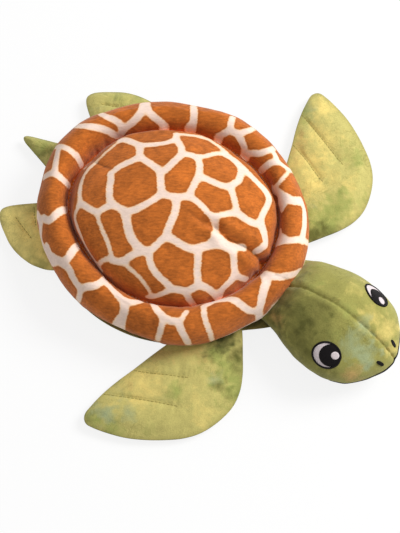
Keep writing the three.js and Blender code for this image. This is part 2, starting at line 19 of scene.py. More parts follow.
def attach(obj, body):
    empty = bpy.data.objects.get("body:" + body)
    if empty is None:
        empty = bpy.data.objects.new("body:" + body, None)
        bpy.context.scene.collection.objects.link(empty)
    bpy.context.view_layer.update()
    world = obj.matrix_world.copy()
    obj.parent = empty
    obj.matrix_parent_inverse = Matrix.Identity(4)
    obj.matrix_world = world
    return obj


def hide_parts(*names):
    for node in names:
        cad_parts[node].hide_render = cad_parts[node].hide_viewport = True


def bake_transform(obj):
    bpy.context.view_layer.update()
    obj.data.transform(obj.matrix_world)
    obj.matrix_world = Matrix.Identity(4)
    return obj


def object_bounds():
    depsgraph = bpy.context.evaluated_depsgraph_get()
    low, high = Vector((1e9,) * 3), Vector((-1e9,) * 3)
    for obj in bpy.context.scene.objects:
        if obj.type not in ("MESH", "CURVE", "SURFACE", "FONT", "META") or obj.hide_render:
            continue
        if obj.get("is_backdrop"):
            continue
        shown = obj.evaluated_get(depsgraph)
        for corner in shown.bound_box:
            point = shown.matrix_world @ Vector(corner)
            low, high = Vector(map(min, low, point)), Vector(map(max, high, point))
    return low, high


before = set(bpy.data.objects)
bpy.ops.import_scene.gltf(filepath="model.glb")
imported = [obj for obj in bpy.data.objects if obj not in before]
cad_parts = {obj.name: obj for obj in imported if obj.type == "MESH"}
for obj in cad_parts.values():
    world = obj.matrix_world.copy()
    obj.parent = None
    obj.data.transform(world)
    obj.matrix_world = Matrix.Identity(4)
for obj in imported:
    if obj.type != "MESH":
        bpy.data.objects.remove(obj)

cad_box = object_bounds()
scene = bpy.context.scene

# %% [markdown]
# ## The camera
# The photograph looks down on the turtle from its right front. The camera's angles were fitted to
# it from the left and right flippers, which are mirror images of each other. The same camera is
# also written as plain vectors, because later cells place the print and the dyes by the pixels of
# the photograph in which they show.

# %% Camera
millimetre = 0.001
photo_centre = np.array([200.0, 266.5])
photo_height = 533
sensor_width = 36.0
lens = 87.8
azimuth, elevation = math.radians(-56.6), math.radians(68.6)
aim = np.array([-22.7, -41.4, 30.0])
distance = 1000.0

focal_pixels = lens / sensor_width * photo_height
back = np.array([
    math.sin(azimuth) * math.cos(elevation),
    -math.cos(azimuth) * math.cos(elevation),
    math.sin(elevation),
])
right = np.array([math.cos(azimuth), math.sin(azimuth), 0.0])
up = np.cross(back, right)
eye_place = aim + back * distance

camera = bpy.data.objects.new("camera", bpy.data.cameras.new("camera"))
camera.data.lens = lens
camera.data.sensor_width = sensor_width
camera.matrix_world = Matrix([
    [right[0], up[0], back[0], eye_place[0] * millimetre],
    [right[1], up[1], back[1], eye_place[1] * millimetre],
    [right[2], up[2], back[2], eye_place[2] * millimetre],
    [0, 0, 0, 1],
])
camera.data.clip_start, camera.data.clip_end = 0.05, 20
scene.collection.objects.link(camera)
scene.camera = camera


def pixels_of(points):
    """Where points in millimetres show in the photograph."""
    away = points - eye_place
    depth = -(away @ back)
    across = photo_centre[0] + focal_pixels * (away @ right) / depth
    down = photo_centre[1] - focal_pixels * (away @ up) / depth
    return np.stack([across, down], axis=-1)


def point_at(pixel, surface, level=30.0):
    """The point of a surface, a BVH tree in millimetres, that shows at a pixel.

    For a pixel beside the surface it is the nearest one to what shows there at a level."""
    x, y = (np.array(pixel) - photo_centre) / focal_pixels
    direction = right * x - up * y - back
    hit = surface.ray_cast(Vector(eye_place), Vector(direction).normalized())
    beside = eye_place + direction * (level - eye_place[2]) / direction[2]
    return np.array(hit[0] if hit[0] else surface.find_nearest(Vector(beside))[0])


print("camera looks from", np.round(eye_place).tolist())

# %% [markdown]
# ## Tools for cloth meshes
# Each skin is a grid of points bent into shape, so every point knows its place in the pattern of
# the cloth: how far round it is, and how far from the middle. Wrinkles, seams and dyes are then
# plain functions of those places, made of three kinds of curve: a step, a bell and a noise.

# %% Curves


def smooth_step(low, high, value):
    """0 up to low, 1 from high on, and a smooth rise between them."""
    share = np.clip((value - low) / (high - low), 0, 1)
    return share * share * (3 - 2 * share)


def bell(away, width):
    """1 where there is no distance, falling off over a width."""
    return np.exp(-((away / width) ** 2))


def wander(points, size, seed=0.0):
    """Smooth noise between about -1 and 1, with lumps of the given size."""
    shifted = points / size + seed
    return np.array([noise.noise(Vector(p)) for p in shifted]) * 1.6


print("a smooth step rises through", smooth_step(0, 4, np.arange(5)).round(2).tolist())

# %% [markdown]
# Blender keeps the points of a mesh in metres. The helpers here read and write them all at once
# as arrays in millimetres, which is much faster than one by one, and they keep a number for each
# point under a name, so that a material can use it.

# %% Points of a piece


def cloth_mesh(name, points, faces):
    """A new object from points in millimetres."""
    mesh = bpy.data.meshes.new(name)
    mesh.from_pydata((points * millimetre).tolist(), [], faces)
    shape = bmesh.new()
    shape.from_mesh(mesh)
    bmesh.ops.recalc_face_normals(shape, faces=shape.faces)
    shape.to_mesh(mesh)
    shape.free()
    mesh.shade_smooth()
    made = bpy.data.objects.new(name, mesh)
    scene.collection.objects.link(made)
    return made


def points_of(piece):
    """The points of a piece in millimetres."""
    flat = np.empty(len(piece.data.vertices) * 3)
    piece.data.vertices.foreach_get("co", flat)
    return flat.reshape(-1, 3) / millimetre


def normals_of(piece):
    """The direction in which the surface faces at each point."""
    flat = np.empty(len(piece.data.vertices) * 3)
    piece.data.vertex_normals.foreach_get("vector", flat)
    return flat.reshape(-1, 3)


def move_points(piece, points):
    """Puts the points of a piece at new places in millimetres."""
    piece.data.vertices.foreach_set("co", (points * millimetre).ravel())
    piece.data.update()


def remember(piece, name, values):
    """Keeps a number per point, which subdivision and materials can read."""
    attribute = piece.data.attributes.get(name)
    if attribute is None:
        attribute = piece.data.attributes.new(name, "FLOAT", "POINT")
    attribute.data.foreach_set("value", values.astype(np.float32))


def recall(piece, name):
    """What remember kept, which subdivision has spread to the new points."""
    attribute = piece.data.attributes[name]
    values = np.empty(len(attribute.data), dtype=np.float32)
    attribute.data.foreach_get("value", values)
    return values.astype(float)


# %% [markdown]
# ## Cloth that settles
# Stuffed cloth swells between its seams and gathers along them. A coarse copy of a piece, remeshed
# into even squares, is blown up for a moment as cloth under pressure, without gravity. The way
# each of its points moves is then handed to the nearest points of the fine piece, up to a cap, so
# that the outline and the seams of the fine piece stay sharp.

# %% Cloth simulation
cloth_frames = 20
cloth_pressure = 4.0
cloth_quality = 6
cloth_mass = 0.15
shared_points = 6
share_softness = 0.5


def bake_shape(piece):
    """Makes what the modifiers show the piece's own mesh."""
    seen = piece.evaluated_get(bpy.context.evaluated_depsgraph_get())
    old = piece.data
    piece.data = bpy.data.meshes.new_from_object(seen)
    piece.data.name = piece.name
    piece.modifiers.clear()
    bpy.data.meshes.remove(old)


def settle(piece, cap, voxel, free):
    """Moves a piece's points as a coarse cloth copy moves, by the cap in millimetres at most.

    Where free is 0 the piece is sewn and stays, and where it is 1 it moves freely."""
    coarse = bpy.data.objects.new(piece.name + "_coarse", piece.data.copy())
    scene.collection.objects.link(coarse)
    remesh = coarse.modifiers.new("squares", "REMESH")
    remesh.mode = "VOXEL"
    remesh.voxel_size = voxel * millimetre
    bake_shape(coarse)
    before = points_of(coarse)
    cloth = coarse.modifiers.new("cloth", "CLOTH")
    cloth.settings.quality = cloth_quality
    cloth.settings.mass = cloth_mass
    cloth.settings.use_pressure = True
    cloth.settings.uniform_pressure_force = cloth_pressure
    cloth.settings.effector_weights.gravity = 0
    cloth.point_cache.frame_start = 1
    cloth.point_cache.frame_end = cloth_frames
    for number in range(1, cloth_frames + 1):
        scene.frame_set(number)
    bake_shape(coarse)
    moved = points_of(coarse) - before
    scene.frame_set(1)
    tree = KDTree(len(before))
    for number, point in enumerate(before):
        tree.insert(point, number)
    tree.balance()
    points = points_of(piece)
    shift = np.zeros_like(points)
    for number, point in enumerate(points):
        near = tree.find_n(point, shared_points)
        weights = np.array([1 / (away + share_softness) ** 2 for _, _, away in near])
        rows = moved[[index for _, index, _ in near]]
        shift[number] = (rows * weights[:, None]).sum(axis=0) / weights.sum()
    length = np.linalg.norm(shift, axis=1, keepdims=True)
    shift = shift * cap * np.tanh(length / cap) / (length + 1e-9) * free[:, None]
    move_points(piece, points + shift)
    bpy.data.objects.remove(coarse)
    print(piece.name, "settled by", round(float(np.linalg.norm(shift, axis=1).max()), 2), "mm")


print("cloth runs for", cloth_frames, "frames")

# %% [markdown]
# ## Node helpers
# Materials are built from small steps. One helper adds a node with its values and links, and one
# turns a colour as a screen shows it, from 0 to 255, into the linear colour that shaders use.

# %% Nodes and colours


def linear(red, green, blue):
    """The linear colour, with alpha, for a colour as a screen shows it."""
    shares = [value / 255 for value in (red, green, blue)]
    steep = [c / 12.92 if c < 0.04045 else ((c + 0.055) / 1.055) ** 2.4 for c in shares]
    return (*steep, 1.0)


def add_node(tree, kind, inputs=None, **settings):
    """A node with its settings, whose inputs are linked or set by name or number."""
    made = tree.nodes.new(kind)
    for name, value in settings.items():
        setattr(made, name, value)
    for name, value in (inputs or {}).items():
        if isinstance(value, bpy.types.NodeSocket):
            tree.links.new(value, made.inputs[name])
        else:
            made.inputs[name].default_value = value
    return made


def calculate(tree, operation, first, second=0.0):
    """One step of arithmetic."""
    return add_node(tree, "ShaderNodeMath", {0: first, 1: second}, operation=operation).outputs[0]


def remap(tree, value, from_low, from_high, to_low=0.0, to_high=1.0):
    """A value moved from one range to another, and kept inside it."""
    inputs = {"Value": value, "From Min": from_low, "From Max": from_high,
              "To Min": to_low, "To Max": to_high}
    return add_node(tree, "ShaderNodeMapRange", inputs).outputs["Result"]


print("a pure yellow in linear light is", linear(255, 255, 0))

# %% [markdown]
# What several materials share goes into a node group, which is built once and used by each of
# them with its own values. The small helpers after it stand for nodes that come up in all of
# them: a noise, the place on the piece, a number kept with the points, and a change of tone.

# %% Groups and materials


def new_group(name, inputs, outputs):
    """A node group with named sockets: numbers by default, or colours where the value is one."""
    tree = bpy.data.node_groups.new(name, "ShaderNodeTree")
    for label, value in inputs.items():
        kind = "NodeSocketColor" if isinstance(value, tuple) else "NodeSocketFloat"
        socket = tree.interface.new_socket(label, in_out="INPUT", socket_type=kind)
        socket.default_value = value
    for label, kind in outputs.items():
        tree.interface.new_socket(label, in_out="OUTPUT", socket_type=kind)
    return tree, add_node(tree, "NodeGroupInput"), add_node(tree, "NodeGroupOutput")


def use_group(tree, group, inputs):
    """A copy of a group inside another tree."""
    return add_node(tree, "ShaderNodeGroup", inputs, node_tree=group)


def noise_in(tree, place, scale, detail, **inputs):
    """A noise from 0 to 1; scale is how many lumps there are in a metre."""
    inputs = {"Vector": place, "Scale": scale, "Detail": detail, **inputs}
    return add_node(tree, "ShaderNodeTexNoise", inputs).outputs["Fac"]


def place_in(tree):
    """The place on the piece, which moves with it."""
    return add_node(tree, "ShaderNodeTexCoord").outputs["Object"]


def remembered(tree, name):
    """The number that remember kept for each point."""
    return add_node(tree, "ShaderNodeAttribute", attribute_name=name).outputs["Fac"]


def scaled(tree, colour, factor):
    """A colour made lighter or darker."""
    inputs = {"Vector": colour, "Scale": factor}
    return add_node(tree, "ShaderNodeVectorMath", inputs, operation="SCALE").outputs["Vector"]


def new_material(name):
    """A material, its node tree and its Principled shader."""
    material = bpy.data.materials.new(name)
    material.use_nodes = True
    tree = material.node_tree
    return material, tree, tree.nodes["Principled BSDF"]


def dress(piece, material):
    """Gives a piece its material, as its only one."""
    piece.data.materials.clear()
    piece.data.materials.append(material)


# %% [markdown]
# ## Short nap
# All the cloth is a short plush: a knit whose fine hairs stand up and lean over in the direction
# in which the cloth was brushed. Single hairs are too fine to model on a whole toy. This group
# makes what they add up to instead: a fine grain, streaks drawn out along the lean, and soft
# patches where the hairs lie differently and catch more light.

# %% Nap group
nap, nap_in, nap_out = new_group(
    "nap",
    {"Grain": 900.0, "Streak": 0.35},
    {"Height": "NodeSocketFloat", "Shade": "NodeSocketFloat"},
)
place = place_in(nap)
grain = noise_in(nap, place, nap_in.outputs["Grain"], 3.0, Roughness=0.6)
turned = add_node(nap, "ShaderNodeMapping", {
    "Vector": place, "Rotation": (0.0, 0.0, azimuth), "Scale": (3.2, 1.0, 1.0),
}, vector_type="TEXTURE").outputs["Vector"]
streaks = noise_in(nap, turned, 620.0, 3.0, Roughness=0.6)
lay = noise_in(nap, place, 130.0, 4.0, Roughness=0.65)
mixed = add_node(nap, "ShaderNodeMix", {
    0: nap_in.outputs["Streak"], 2: grain, 3: streaks,
}, data_type="FLOAT").outputs[0]
nap.links.new(mixed, nap_out.inputs["Height"])
shade = calculate(nap, "ADD", calculate(nap, "MULTIPLY", mixed, 0.6),
                  calculate(nap, "MULTIPLY", lay, 0.4))
nap.links.new(remap(nap, shade, 0.36, 0.64), nap_out.inputs["Shade"])
print("nap group has", len(nap.nodes), "nodes")


def give_nap(tree, shader, height, strength):
    """Hairs roughen the light on the cloth."""
    bump = add_node(tree, "ShaderNodeBump", {
        "Height": height, "Strength": strength, "Distance": 0.0006,
    })
    tree.links.new(bump.outputs["Normal"], shader.inputs["Normal"])
    shader.inputs["Roughness"].default_value = 0.92
    shader.inputs["Specular IOR Level"].default_value = 0.15
    shader.inputs["Sheen Weight"].default_value = 0.18
    shader.inputs["Sheen Roughness"].default_value = 0.45


# %% [markdown]
# ## The shell's form
# The shell is one printed cloth over two stuffed parts: a dome in the middle and a fat rim round
# it, parted by a line of stitching that pulls a deep oval crease. It could be sculpted from a
# ball, but a profile that runs from the top of the dome over the crease and the rim down to the
# seam is exact, and it is swept round an oval. The dome's edge is a soft ridge over a steep
# flank, except towards the head's right, where it rolls down evenly. Stuffing is never even: the
# lists say, for angles in degrees round the shell, how many millimetres it pushes out the
# outline, the crease and the ridge, and how far the crease is pulled down.

# %% Shell profile
shell_half_width = 102.0
shell_half_length = 109.0
shell_height = 67.0
crease_radius = 74.0
crease_height = 33.0
crease_half_gap = 0.6
crease_pinch = 1.2
rim_crest_radius = 89.0
rim_crest_height = 47.0
rim_bulge_height = 26.0
seam_radius = 96.0
seam_height = 9.0
dome_fullness = 2.3
ridge_radius = 67.0
ridge_height = 49.5
sharp_side = math.radians(41)
sharp_reach, soft_reach = math.radians(76), math.radians(104)
stretch = shell_half_length / shell_half_width
dome_edge = crease_radius - crease_half_gap
quarter = np.linspace(0, math.pi / 2, 40)
outline_bulges = [
    (-50, -0.5), (-20, -2.5), (-10, -0.5), (5, -1), (14, -3), (24, -4.5), (36, -4), (50, -2.5),
    (62, -0.5), (75, 2.5), (88, 2.6), (105, 0.3), (120, -1.2), (135, -2.2), (152, -1.8),
    (171, -3.2), (188, -4.2), (203, -2.4), (214, 1.2), (226, -1.2), (240, -3.2), (252, -2),
    (265, 0.5), (290, 0.5), (310, -0.5),
]
crease_bulges = [
    (-50, 5.2), (-30, 3.5), (-15, 0), (0, -1.5), (32, -2.7), (48, -2.5), (60, 0.5), (76, 2.6),
    (87, 4.5), (107, 5.5), (116, 3.8), (125, 2.4), (135, -0.5), (156, -2.8), (168, -2),
    (185, -0.5), (210, 0.5), (241, 1), (262, 1.8), (275, 3.6), (290, 4.6), (310, 5.2),
]
ridge_bulges = [
    (-50, 8), (-39, 5), (-28, 1.8), (-18, -1), (-6, -2.2), (10, -1.6), (21, -3), (32, -4.1),
    (48, -4), (58, -2.3), (64, -0.6), (77, -1.2), (90, -0.8), (103, 1.8), (114, 2),
    (123, 3.2), (133, 4), (156, 1), (185, 0), (260, 2), (290, 5), (310, 8),
]
crease_drops = [
    (-50, 2), (-20, 0), (40, 0), (56, 4), (68, 10), (84, 11), (95, 7), (115, 4), (135, 1.5),
    (165, 1), (210, 1), (240, 2), (255, 4), (275, 6), (290, 3.5), (310, 2),
]


def run_along(points):
    """How far along a line of points each of them is."""
    return np.concatenate([[0], np.cumsum(np.linalg.norm(np.diff(points, axis=0), axis=1))])


def measured(profile):
    """A profile with the share of its length at each point."""
    profile = np.array(profile)
    run = run_along(profile)
    return run / run[-1], profile, run[-1]


def round_dome():
    """An even dome, from the middle of its top down into the crease."""
    across = np.sin(quarter)
    rise = (shell_height - crease_height) * np.sqrt(1 - across ** dome_fullness)
    return np.stack([dome_edge * across, crease_height + rise], axis=1)


def ridged_dome():
    """A flatter top, then a steep flank from the ridge down into the crease."""
    share = np.linspace(0, 1, 50)
    top = np.stack([
        ridge_radius * share,
        shell_height - (shell_height - ridge_height) * share ** 2.2,
    ], axis=1)
    flank = np.array([
        [67.5, 49.0], [68.3, 47.4], [70.2, 42.0], [72.0, 37.0], [dome_edge, crease_height],
    ])
    return np.concatenate([top, flank])


def under_rim():
    """The arc from the rim's widest place down to the seam: its radius and how far it turns."""
    inset = shell_half_width - seam_radius
    drop = rim_bulge_height - seam_height
    radius = (inset ** 2 + drop ** 2) / (2 * inset)
    return radius, math.asin(drop / radius)


def rim_profile():
    """From the crease's bottom over the rim's crest and round its side to the seam."""
    foot = crease_radius + crease_half_gap
    inner = np.stack([
        rim_crest_radius - (rim_crest_radius - foot) * np.cos(quarter),
        crease_height + (rim_crest_height - crease_height) * np.sin(quarter),
    ], axis=1)
    outer = np.stack([
        rim_crest_radius + (shell_half_width - rim_crest_radius) * np.sin(quarter),
        rim_bulge_height + (rim_crest_height - rim_bulge_height) * np.cos(quarter),
    ], axis=1)
    radius, whole_turn = under_rim()
    turn = np.linspace(0, whole_turn, 16)
    below = np.stack([
        shell_half_width - radius * (1 - np.cos(turn)),
        rim_bulge_height - radius * np.sin(turn),
    ], axis=1)
    bottom = [[crease_radius, crease_height - crease_pinch]]
    return np.concatenate([bottom, inner, outer[1:], below[1:]])


round_run, round_points, dome_length = measured(round_dome())
ridge_run, ridge_points, _ = measured(ridged_dome())
rim_run, rim_points, rim_length = measured(rim_profile())
print("dome", round(dome_length), "mm and rim", round(rim_length), "mm of cloth")


def length_from_crease(run):
    """Millimetres along the cloth from the crease, on either side of it."""
    return np.where(run < 1, (1 - run) * dome_length, (run - 1) * rim_length)


def ridge_weight(turn):
    """How sharply the dome's edge is creased at an angle round the shell."""
    away = np.abs((turn - sharp_side + math.pi) % (2 * math.pi) - math.pi)
    return 1 - smooth_step(sharp_reach, soft_reach, away)


def bulge_at(turn, bulges):
    """How far the stuffing pushes the cloth past its oval, or falls short, in millimetres."""
    angles, amounts = np.array(bulges, dtype=float).T
    whole = np.arange(-50, 310, 2.0)
    even = np.interp(whole, angles, amounts)
    soft = sum(np.roll(even, shift) for shift in range(-4, 5)) / 9
    return np.interp((np.degrees(turn) + 50) % 360 - 50, whole, soft, period=360)


def bulge(turn, run):
    """The bulges of the ridge, the crease and the outline, blended from one to the next."""
    to_ridge = smooth_step(0.15, 0.8, run)
    to_crease = smooth_step(0.8, 1, run)
    to_outline = smooth_step(1, 1.5, run)
    inner = bulge_at(turn, ridge_bulges) * to_ridge * (1 - to_crease)
    middle = bulge_at(turn, crease_bulges) * to_crease * (1 - to_outline)
    return inner + middle + bulge_at(turn, outline_bulges) * to_outline


def shell_surface(turn, run):
    """Points at angles round the shell; run is 0 at the top, 1 at the crease, 2 at the seam."""
    dome_share = np.clip(run, 0, 1)
    rim_share = np.clip(run - 1, 0, 1)
    weight = ridge_weight(turn)
    across, height = [
        np.interp(dome_share, round_run, round_points[:, k]) * (1 - weight)
        + np.interp(dome_share, ridge_run, ridge_points[:, k]) * weight
        for k in (0, 1)
    ]
    on_rim = run > 1
    across = np.where(on_rim, np.interp(rim_share, rim_run, rim_points[:, 0]), across)
    height = np.where(on_rim, np.interp(rim_share, rim_run, rim_points[:, 1]), height)
    across = across + bulge(turn, run)
    height = height - bulge_at(turn, crease_drops) * bell(run - 1, np.where(on_rim, 0.16, 0.07))
    return np.stack([across * np.cos(turn), across * stretch * np.sin(turn), height], axis=-1)


# %% [markdown]
# A dome swept from rings has a pinched middle where all the rings' edges meet. A square grid
# pressed into a disc has none, and its even squares also fold well in a cloth simulation. The
# grid's border becomes the crease, and the rim goes on from it in loops of as many points.

# %% Grids and loops


def loop_from(start, count):
    """The numbers of the points of a closed loop."""
    return list(range(start, start + count))


def band_faces(here, beyond):
    """Quads between two closed loops of as many points."""
    count = len(here)
    faces = []
    for i in range(count):
        j = (i + 1) % count
        faces.append((here[i], here[j], beyond[j], beyond[i]))
    return faces


def ladder_faces(loop):
    """Quads that close an even loop like the rungs of a ladder, which subdivide quickly."""
    count = len(loop)
    return [(loop[k], loop[k + 1], loop[count - 2 - k], loop[count - 1 - k])
            for k in range(count // 2 - 1)]


def disc_grid(cells):
    """A square grid pressed into a unit disc: points, faces and the border loop."""
    side = np.linspace(-1, 1, cells + 1)
    u, v = np.meshgrid(side, side, indexing="ij")
    x = u * np.sqrt(1 - v ** 2 / 2)
    y = v * np.sqrt(1 - u ** 2 / 2)
    number = np.arange((cells + 1) ** 2).reshape(cells + 1, cells + 1)
    faces = []
    for i in range(cells):
        for j in range(cells):
            faces.append((number[i, j], number[i + 1, j], number[i + 1, j + 1], number[i, j + 1]))
    border = [*number[:-1, 0], *number[-1, :-1], *number[:0:-1, -1], *number[0, :0:-1]]
    return np.stack([x.ravel(), y.ravel()], axis=1), faces, border


print("a grid of 4 by 4 cells has a border of", len(disc_grid(4)[2]), "points")

# %% [markdown]
# The print ends in the seam under the rim. From there, where nobody sees it, more loops and a
# ladder of faces close the skin, because a stuffed piece has to be a solid without holes.

# %% Shell mesh


def shell_grid(cells, loop_count):
    """Angle, run and faces for the shell's cloth, closed below by loops to the middle."""
    disc, faces, border = disc_grid(cells)
    turns = [np.arctan2(disc[:, 1], disc[:, 0])]
    runs = [np.hypot(disc[:, 0], disc[:, 1])]
    edge_turns = turns[0][border]
    before = border
    count = len(disc)
    for run in np.linspace(1, 2, loop_count + 1)[1:]:
        loop = loop_from(count, len(border))
        faces += band_faces(before, loop)
        turns.append(edge_turns)
        runs.append(np.full(len(border), run))
        before = loop
        count += len(border)
    return np.concatenate(turns), np.concatenate(runs), faces, before


dome_cells, rim_loops = 88, 50
hidden_run = 2.2
shell_turn, shell_run, shell_faces, seam_loop = shell_grid(dome_cells, rim_loops)
shell_points = shell_surface(shell_turn, shell_run)

hidden_shares = [0.975, 0.93, 0.7, 0.4, 0.15]
hidden_height = 10.5
loop_before = seam_loop
for share in hidden_shares:
    inward = shell_points[seam_loop] * [share, share, 1]
    inward[:, 2] = hidden_height
    loop = loop_from(len(shell_points), len(seam_loop))
    shell_faces += band_faces(loop_before, loop)
    shell_points = np.concatenate([shell_points, inward])
    loop_before = loop
shell_faces += ladder_faces(loop_before)
extra = len(shell_points) - len(shell_turn)
shell_turn = np.concatenate([shell_turn, np.tile(shell_turn[seam_loop], len(hidden_shares))])
shell_run = np.concatenate([shell_run, np.full(extra, hidden_run)])

shell_skin = cloth_mesh("shell_skin", shell_points, shell_faces)
remember(shell_skin, "turn", shell_turn)
remember(shell_skin, "run", shell_run)
print("shell_skin starts with", len(shell_points), "points")

# %% [markdown]
# ## Darts, puckers and sags
# A flat cloth only fits a dome with darts: wedges sewn shut, which leave a short seam in a
# hollow. This shell has a long one towards the head and a short one towards the tail. The
# stitches in the crease and in the bottom seam also gather the cloth, so that small puckers fan
# out from them. They are moved into the surface here, along its normals.

# %% Shell wrinkles
front_dart_pixels = [(217, 227), (229, 239), (238, 243.5), (248, 248.4), (257, 256),
                     (263.4, 264.6)]
rim_dart_pixels = [(263.4, 270), (276, 274.4), (285, 278), (291, 281)]
rear_dart_pixels = [(116.6, 170.8), (106, 167), (96.5, 163.2), (88, 160)]
inner_fold_pixels = [(184, 207), (194, 215), (205, 223), (217, 227)]
front_dart_depth, inner_fold_depth = 5.0, 3.4
rim_dart_depth, rear_dart_depth = 1.5, 1.8
pattern_radius = 100


def surface_of(piece):
    """A tree in millimetres for casting rays at a piece."""
    faces = [tuple(face.vertices) for face in piece.data.polygons]
    return BVHTree.FromPolygons(points_of(piece).tolist(), faces)


def distance_to_line(points, line):
    """How far each point is from a line through corners, and how far along it, from 0 to 1."""
    steps = np.linalg.norm(np.diff(line, axis=0), axis=1)
    reach = np.concatenate([[0], np.cumsum(steps)]) / steps.sum()
    nearest = np.full(len(points), np.inf)
    along = np.zeros(len(points))
    for i, start in enumerate(line[:-1]):
        edge = line[i + 1] - start
        share = np.clip(((points - start) @ edge) / (edge @ edge), 0, 1)
        away = np.linalg.norm(points - start - share[:, None] * edge, axis=1)
        closer = away < nearest
        nearest[closer] = away[closer]
        along[closer] = (reach[i] + share * (reach[i + 1] - reach[i]))[closer]
    return nearest, along


def hollow(away, first, second):
    """The section of a fold: two bells laid over each other, each with its depth and width."""
    return first[0] * bell(away, first[1]) + second[0] * bell(away, second[1])


def on_shell(pixels):
    """The points of the shell that show at some pixels."""
    return np.array([point_at(pixel, shell_surface_tree) for pixel in pixels])


def shell_wrinkles(points, turn, run):
    """How far each point of the shell moves along its normal."""
    round_place = np.stack([np.cos(turn), np.sin(turn), run * 0], axis=1) * pattern_radius
    move = 0.9 * wander(points, 38) + 0.35 * wander(points, 14, 3.0)

    puckers = wander(round_place, 8.5, 7.0)
    depth = 0.9 + 0.5 * wander(round_place, 45, 9.0)
    near_crease = bell(length_from_crease(run) - 4, 6.5) * (run > 0.75)
    move -= depth * np.maximum(puckers, -0.2) * near_crease

    puckers = wander(round_place, 7.0, 12.0)
    near_seam = bell((2 - run) * rim_length - 5, 8) * (run > 1.4)
    move -= 0.9 * np.maximum(puckers, -0.2) * near_seam

    away, along = distance_to_line(points, on_shell(front_dart_pixels))
    depth = front_dart_depth * smooth_step(-0.2, 0.1, along)
    move -= depth * hollow(away, (0.5, 1.4), (0.5, 4.5)) * (run < 1.02)
    move += 0.3 * depth * bell(away - 8.5, 4) * (run < 0.97)

    away, along = distance_to_line(points, on_shell(inner_fold_pixels))
    depth = inner_fold_depth * smooth_step(0, 0.8, along)
    move -= depth * hollow(away, (0.7, 3.4), (0.3, 1.2)) * (run < 1)
    move += 0.35 * depth * bell(away - 6.5, 3) * (run < 1)

    away, along = distance_to_line(points, on_shell(rim_dart_pixels))
    depth = rim_dart_depth * (1 - 0.6 * along)
    move -= depth * hollow(away, (0.6, 1.3), (0.4, 6)) * (run > 1.02)

    away, along = distance_to_line(points, on_shell(rear_dart_pixels))
    depth = rear_dart_depth * smooth_step(0, 0.3, along)
    move -= depth * hollow(away, (0.6, 1.3), (0.4, 6)) * (run < 1.02)

    return move * (run < 2)


shell_surface_tree = surface_of(shell_skin)
wrinkles = shell_wrinkles(shell_points, shell_turn, shell_run)
move_points(shell_skin, shell_points + normals_of(shell_skin) * wrinkles[:, None])
print("the folds are up to", round(float(-wrinkles.min()), 1), "mm deep")

# %% [markdown]
# Now the stuffing swells the cloth. The crease and the bottom seam are sewn, so the cloth is held
# there and free from some way off. One subdivision then rounds it. Each point then keeps a painted
# shade for how far inside a dart or fold it lies, which darkens the colour there; in the crease
# that number is below 0, which paints light into the crease's colour and lifts its shade.

# %% Settle the shell
shell_cap, shell_voxel = 1.0, 6.0
held_length, free_length = 3, 14
crease_light, crease_light_width = 0.9, 4.0


def subdivide(piece):
    """Cuts every face in four and rounds the piece."""
    piece.modifiers.new("round", "SUBSURF").levels = 1
    bake_shape(piece)


from_crease = smooth_step(held_length, free_length, length_from_crease(shell_run))
from_bottom = smooth_step(held_length, free_length, (2 - shell_run) * rim_length)
settle(shell_skin, shell_cap, shell_voxel, from_crease * from_bottom)
wrinkled = points_of(shell_skin).tolist()
shell_surface_tree = surface_of(shell_skin)
run_of_face = np.array([shell_run[list(face)].mean() for face in shell_faces])
dome_tree = BVHTree.FromPolygons(
    wrinkled, [face for face, run in zip(shell_faces, run_of_face) if run < 1])
rim_tree = BVHTree.FromPolygons(
    wrinkled, [face for face, run in zip(shell_faces, run_of_face) if 1 < run <= 2])
subdivide(shell_skin)

# Painted shade: the colour darkens along the darts and the inner fold.
painted_fold_shade_and_crease_light = np.zeros(len(shell_skin.data.vertices))
for pixels, strength, width in (
    (front_dart_pixels, 0.95, 0.9), (rear_dart_pixels, 0.7, 0.8), (rim_dart_pixels, 0.4, 0.8),
    (inner_fold_pixels, 0.4, 1.6),
):
    away, along = distance_to_line(points_of(shell_skin), on_shell(pixels))
    painted_fold_shade_and_crease_light = np.maximum(painted_fold_shade_and_crease_light, strength * bell(away, width) * smooth_step(0, 0.2, along))
# Painted light: the colour is lifted along the crease, over the shade that its geometry casts.
to_crease = length_from_crease(recall(shell_skin, "run"))
painted_fold_shade_and_crease_light = painted_fold_shade_and_crease_light - crease_light * bell(to_crease, crease_light_width)
remember(shell_skin, "painted_fold_shade_and_crease_light", painted_fold_shade_and_crease_light)
print("shell_skin has", len(shell_skin.data.vertices), "points")

# %% [markdown]
# ## The giraffe print
# A giraffe's coat is a net of pale lines round rounded patches. A plain cell noise would make such
# a net, but not this one. The net is short to write down as lines: each is a few pixels of the
# photograph, joined by a smooth curve, with half its width in pixels. The curves are cast onto
# the shell, and the distance to the nearest one tells for every place on the cloth how deep it
# lies inside a patch. Where the camera sees nothing, every place belongs to the nearest of some
# spread points instead, and the line where two of them meet is pale.

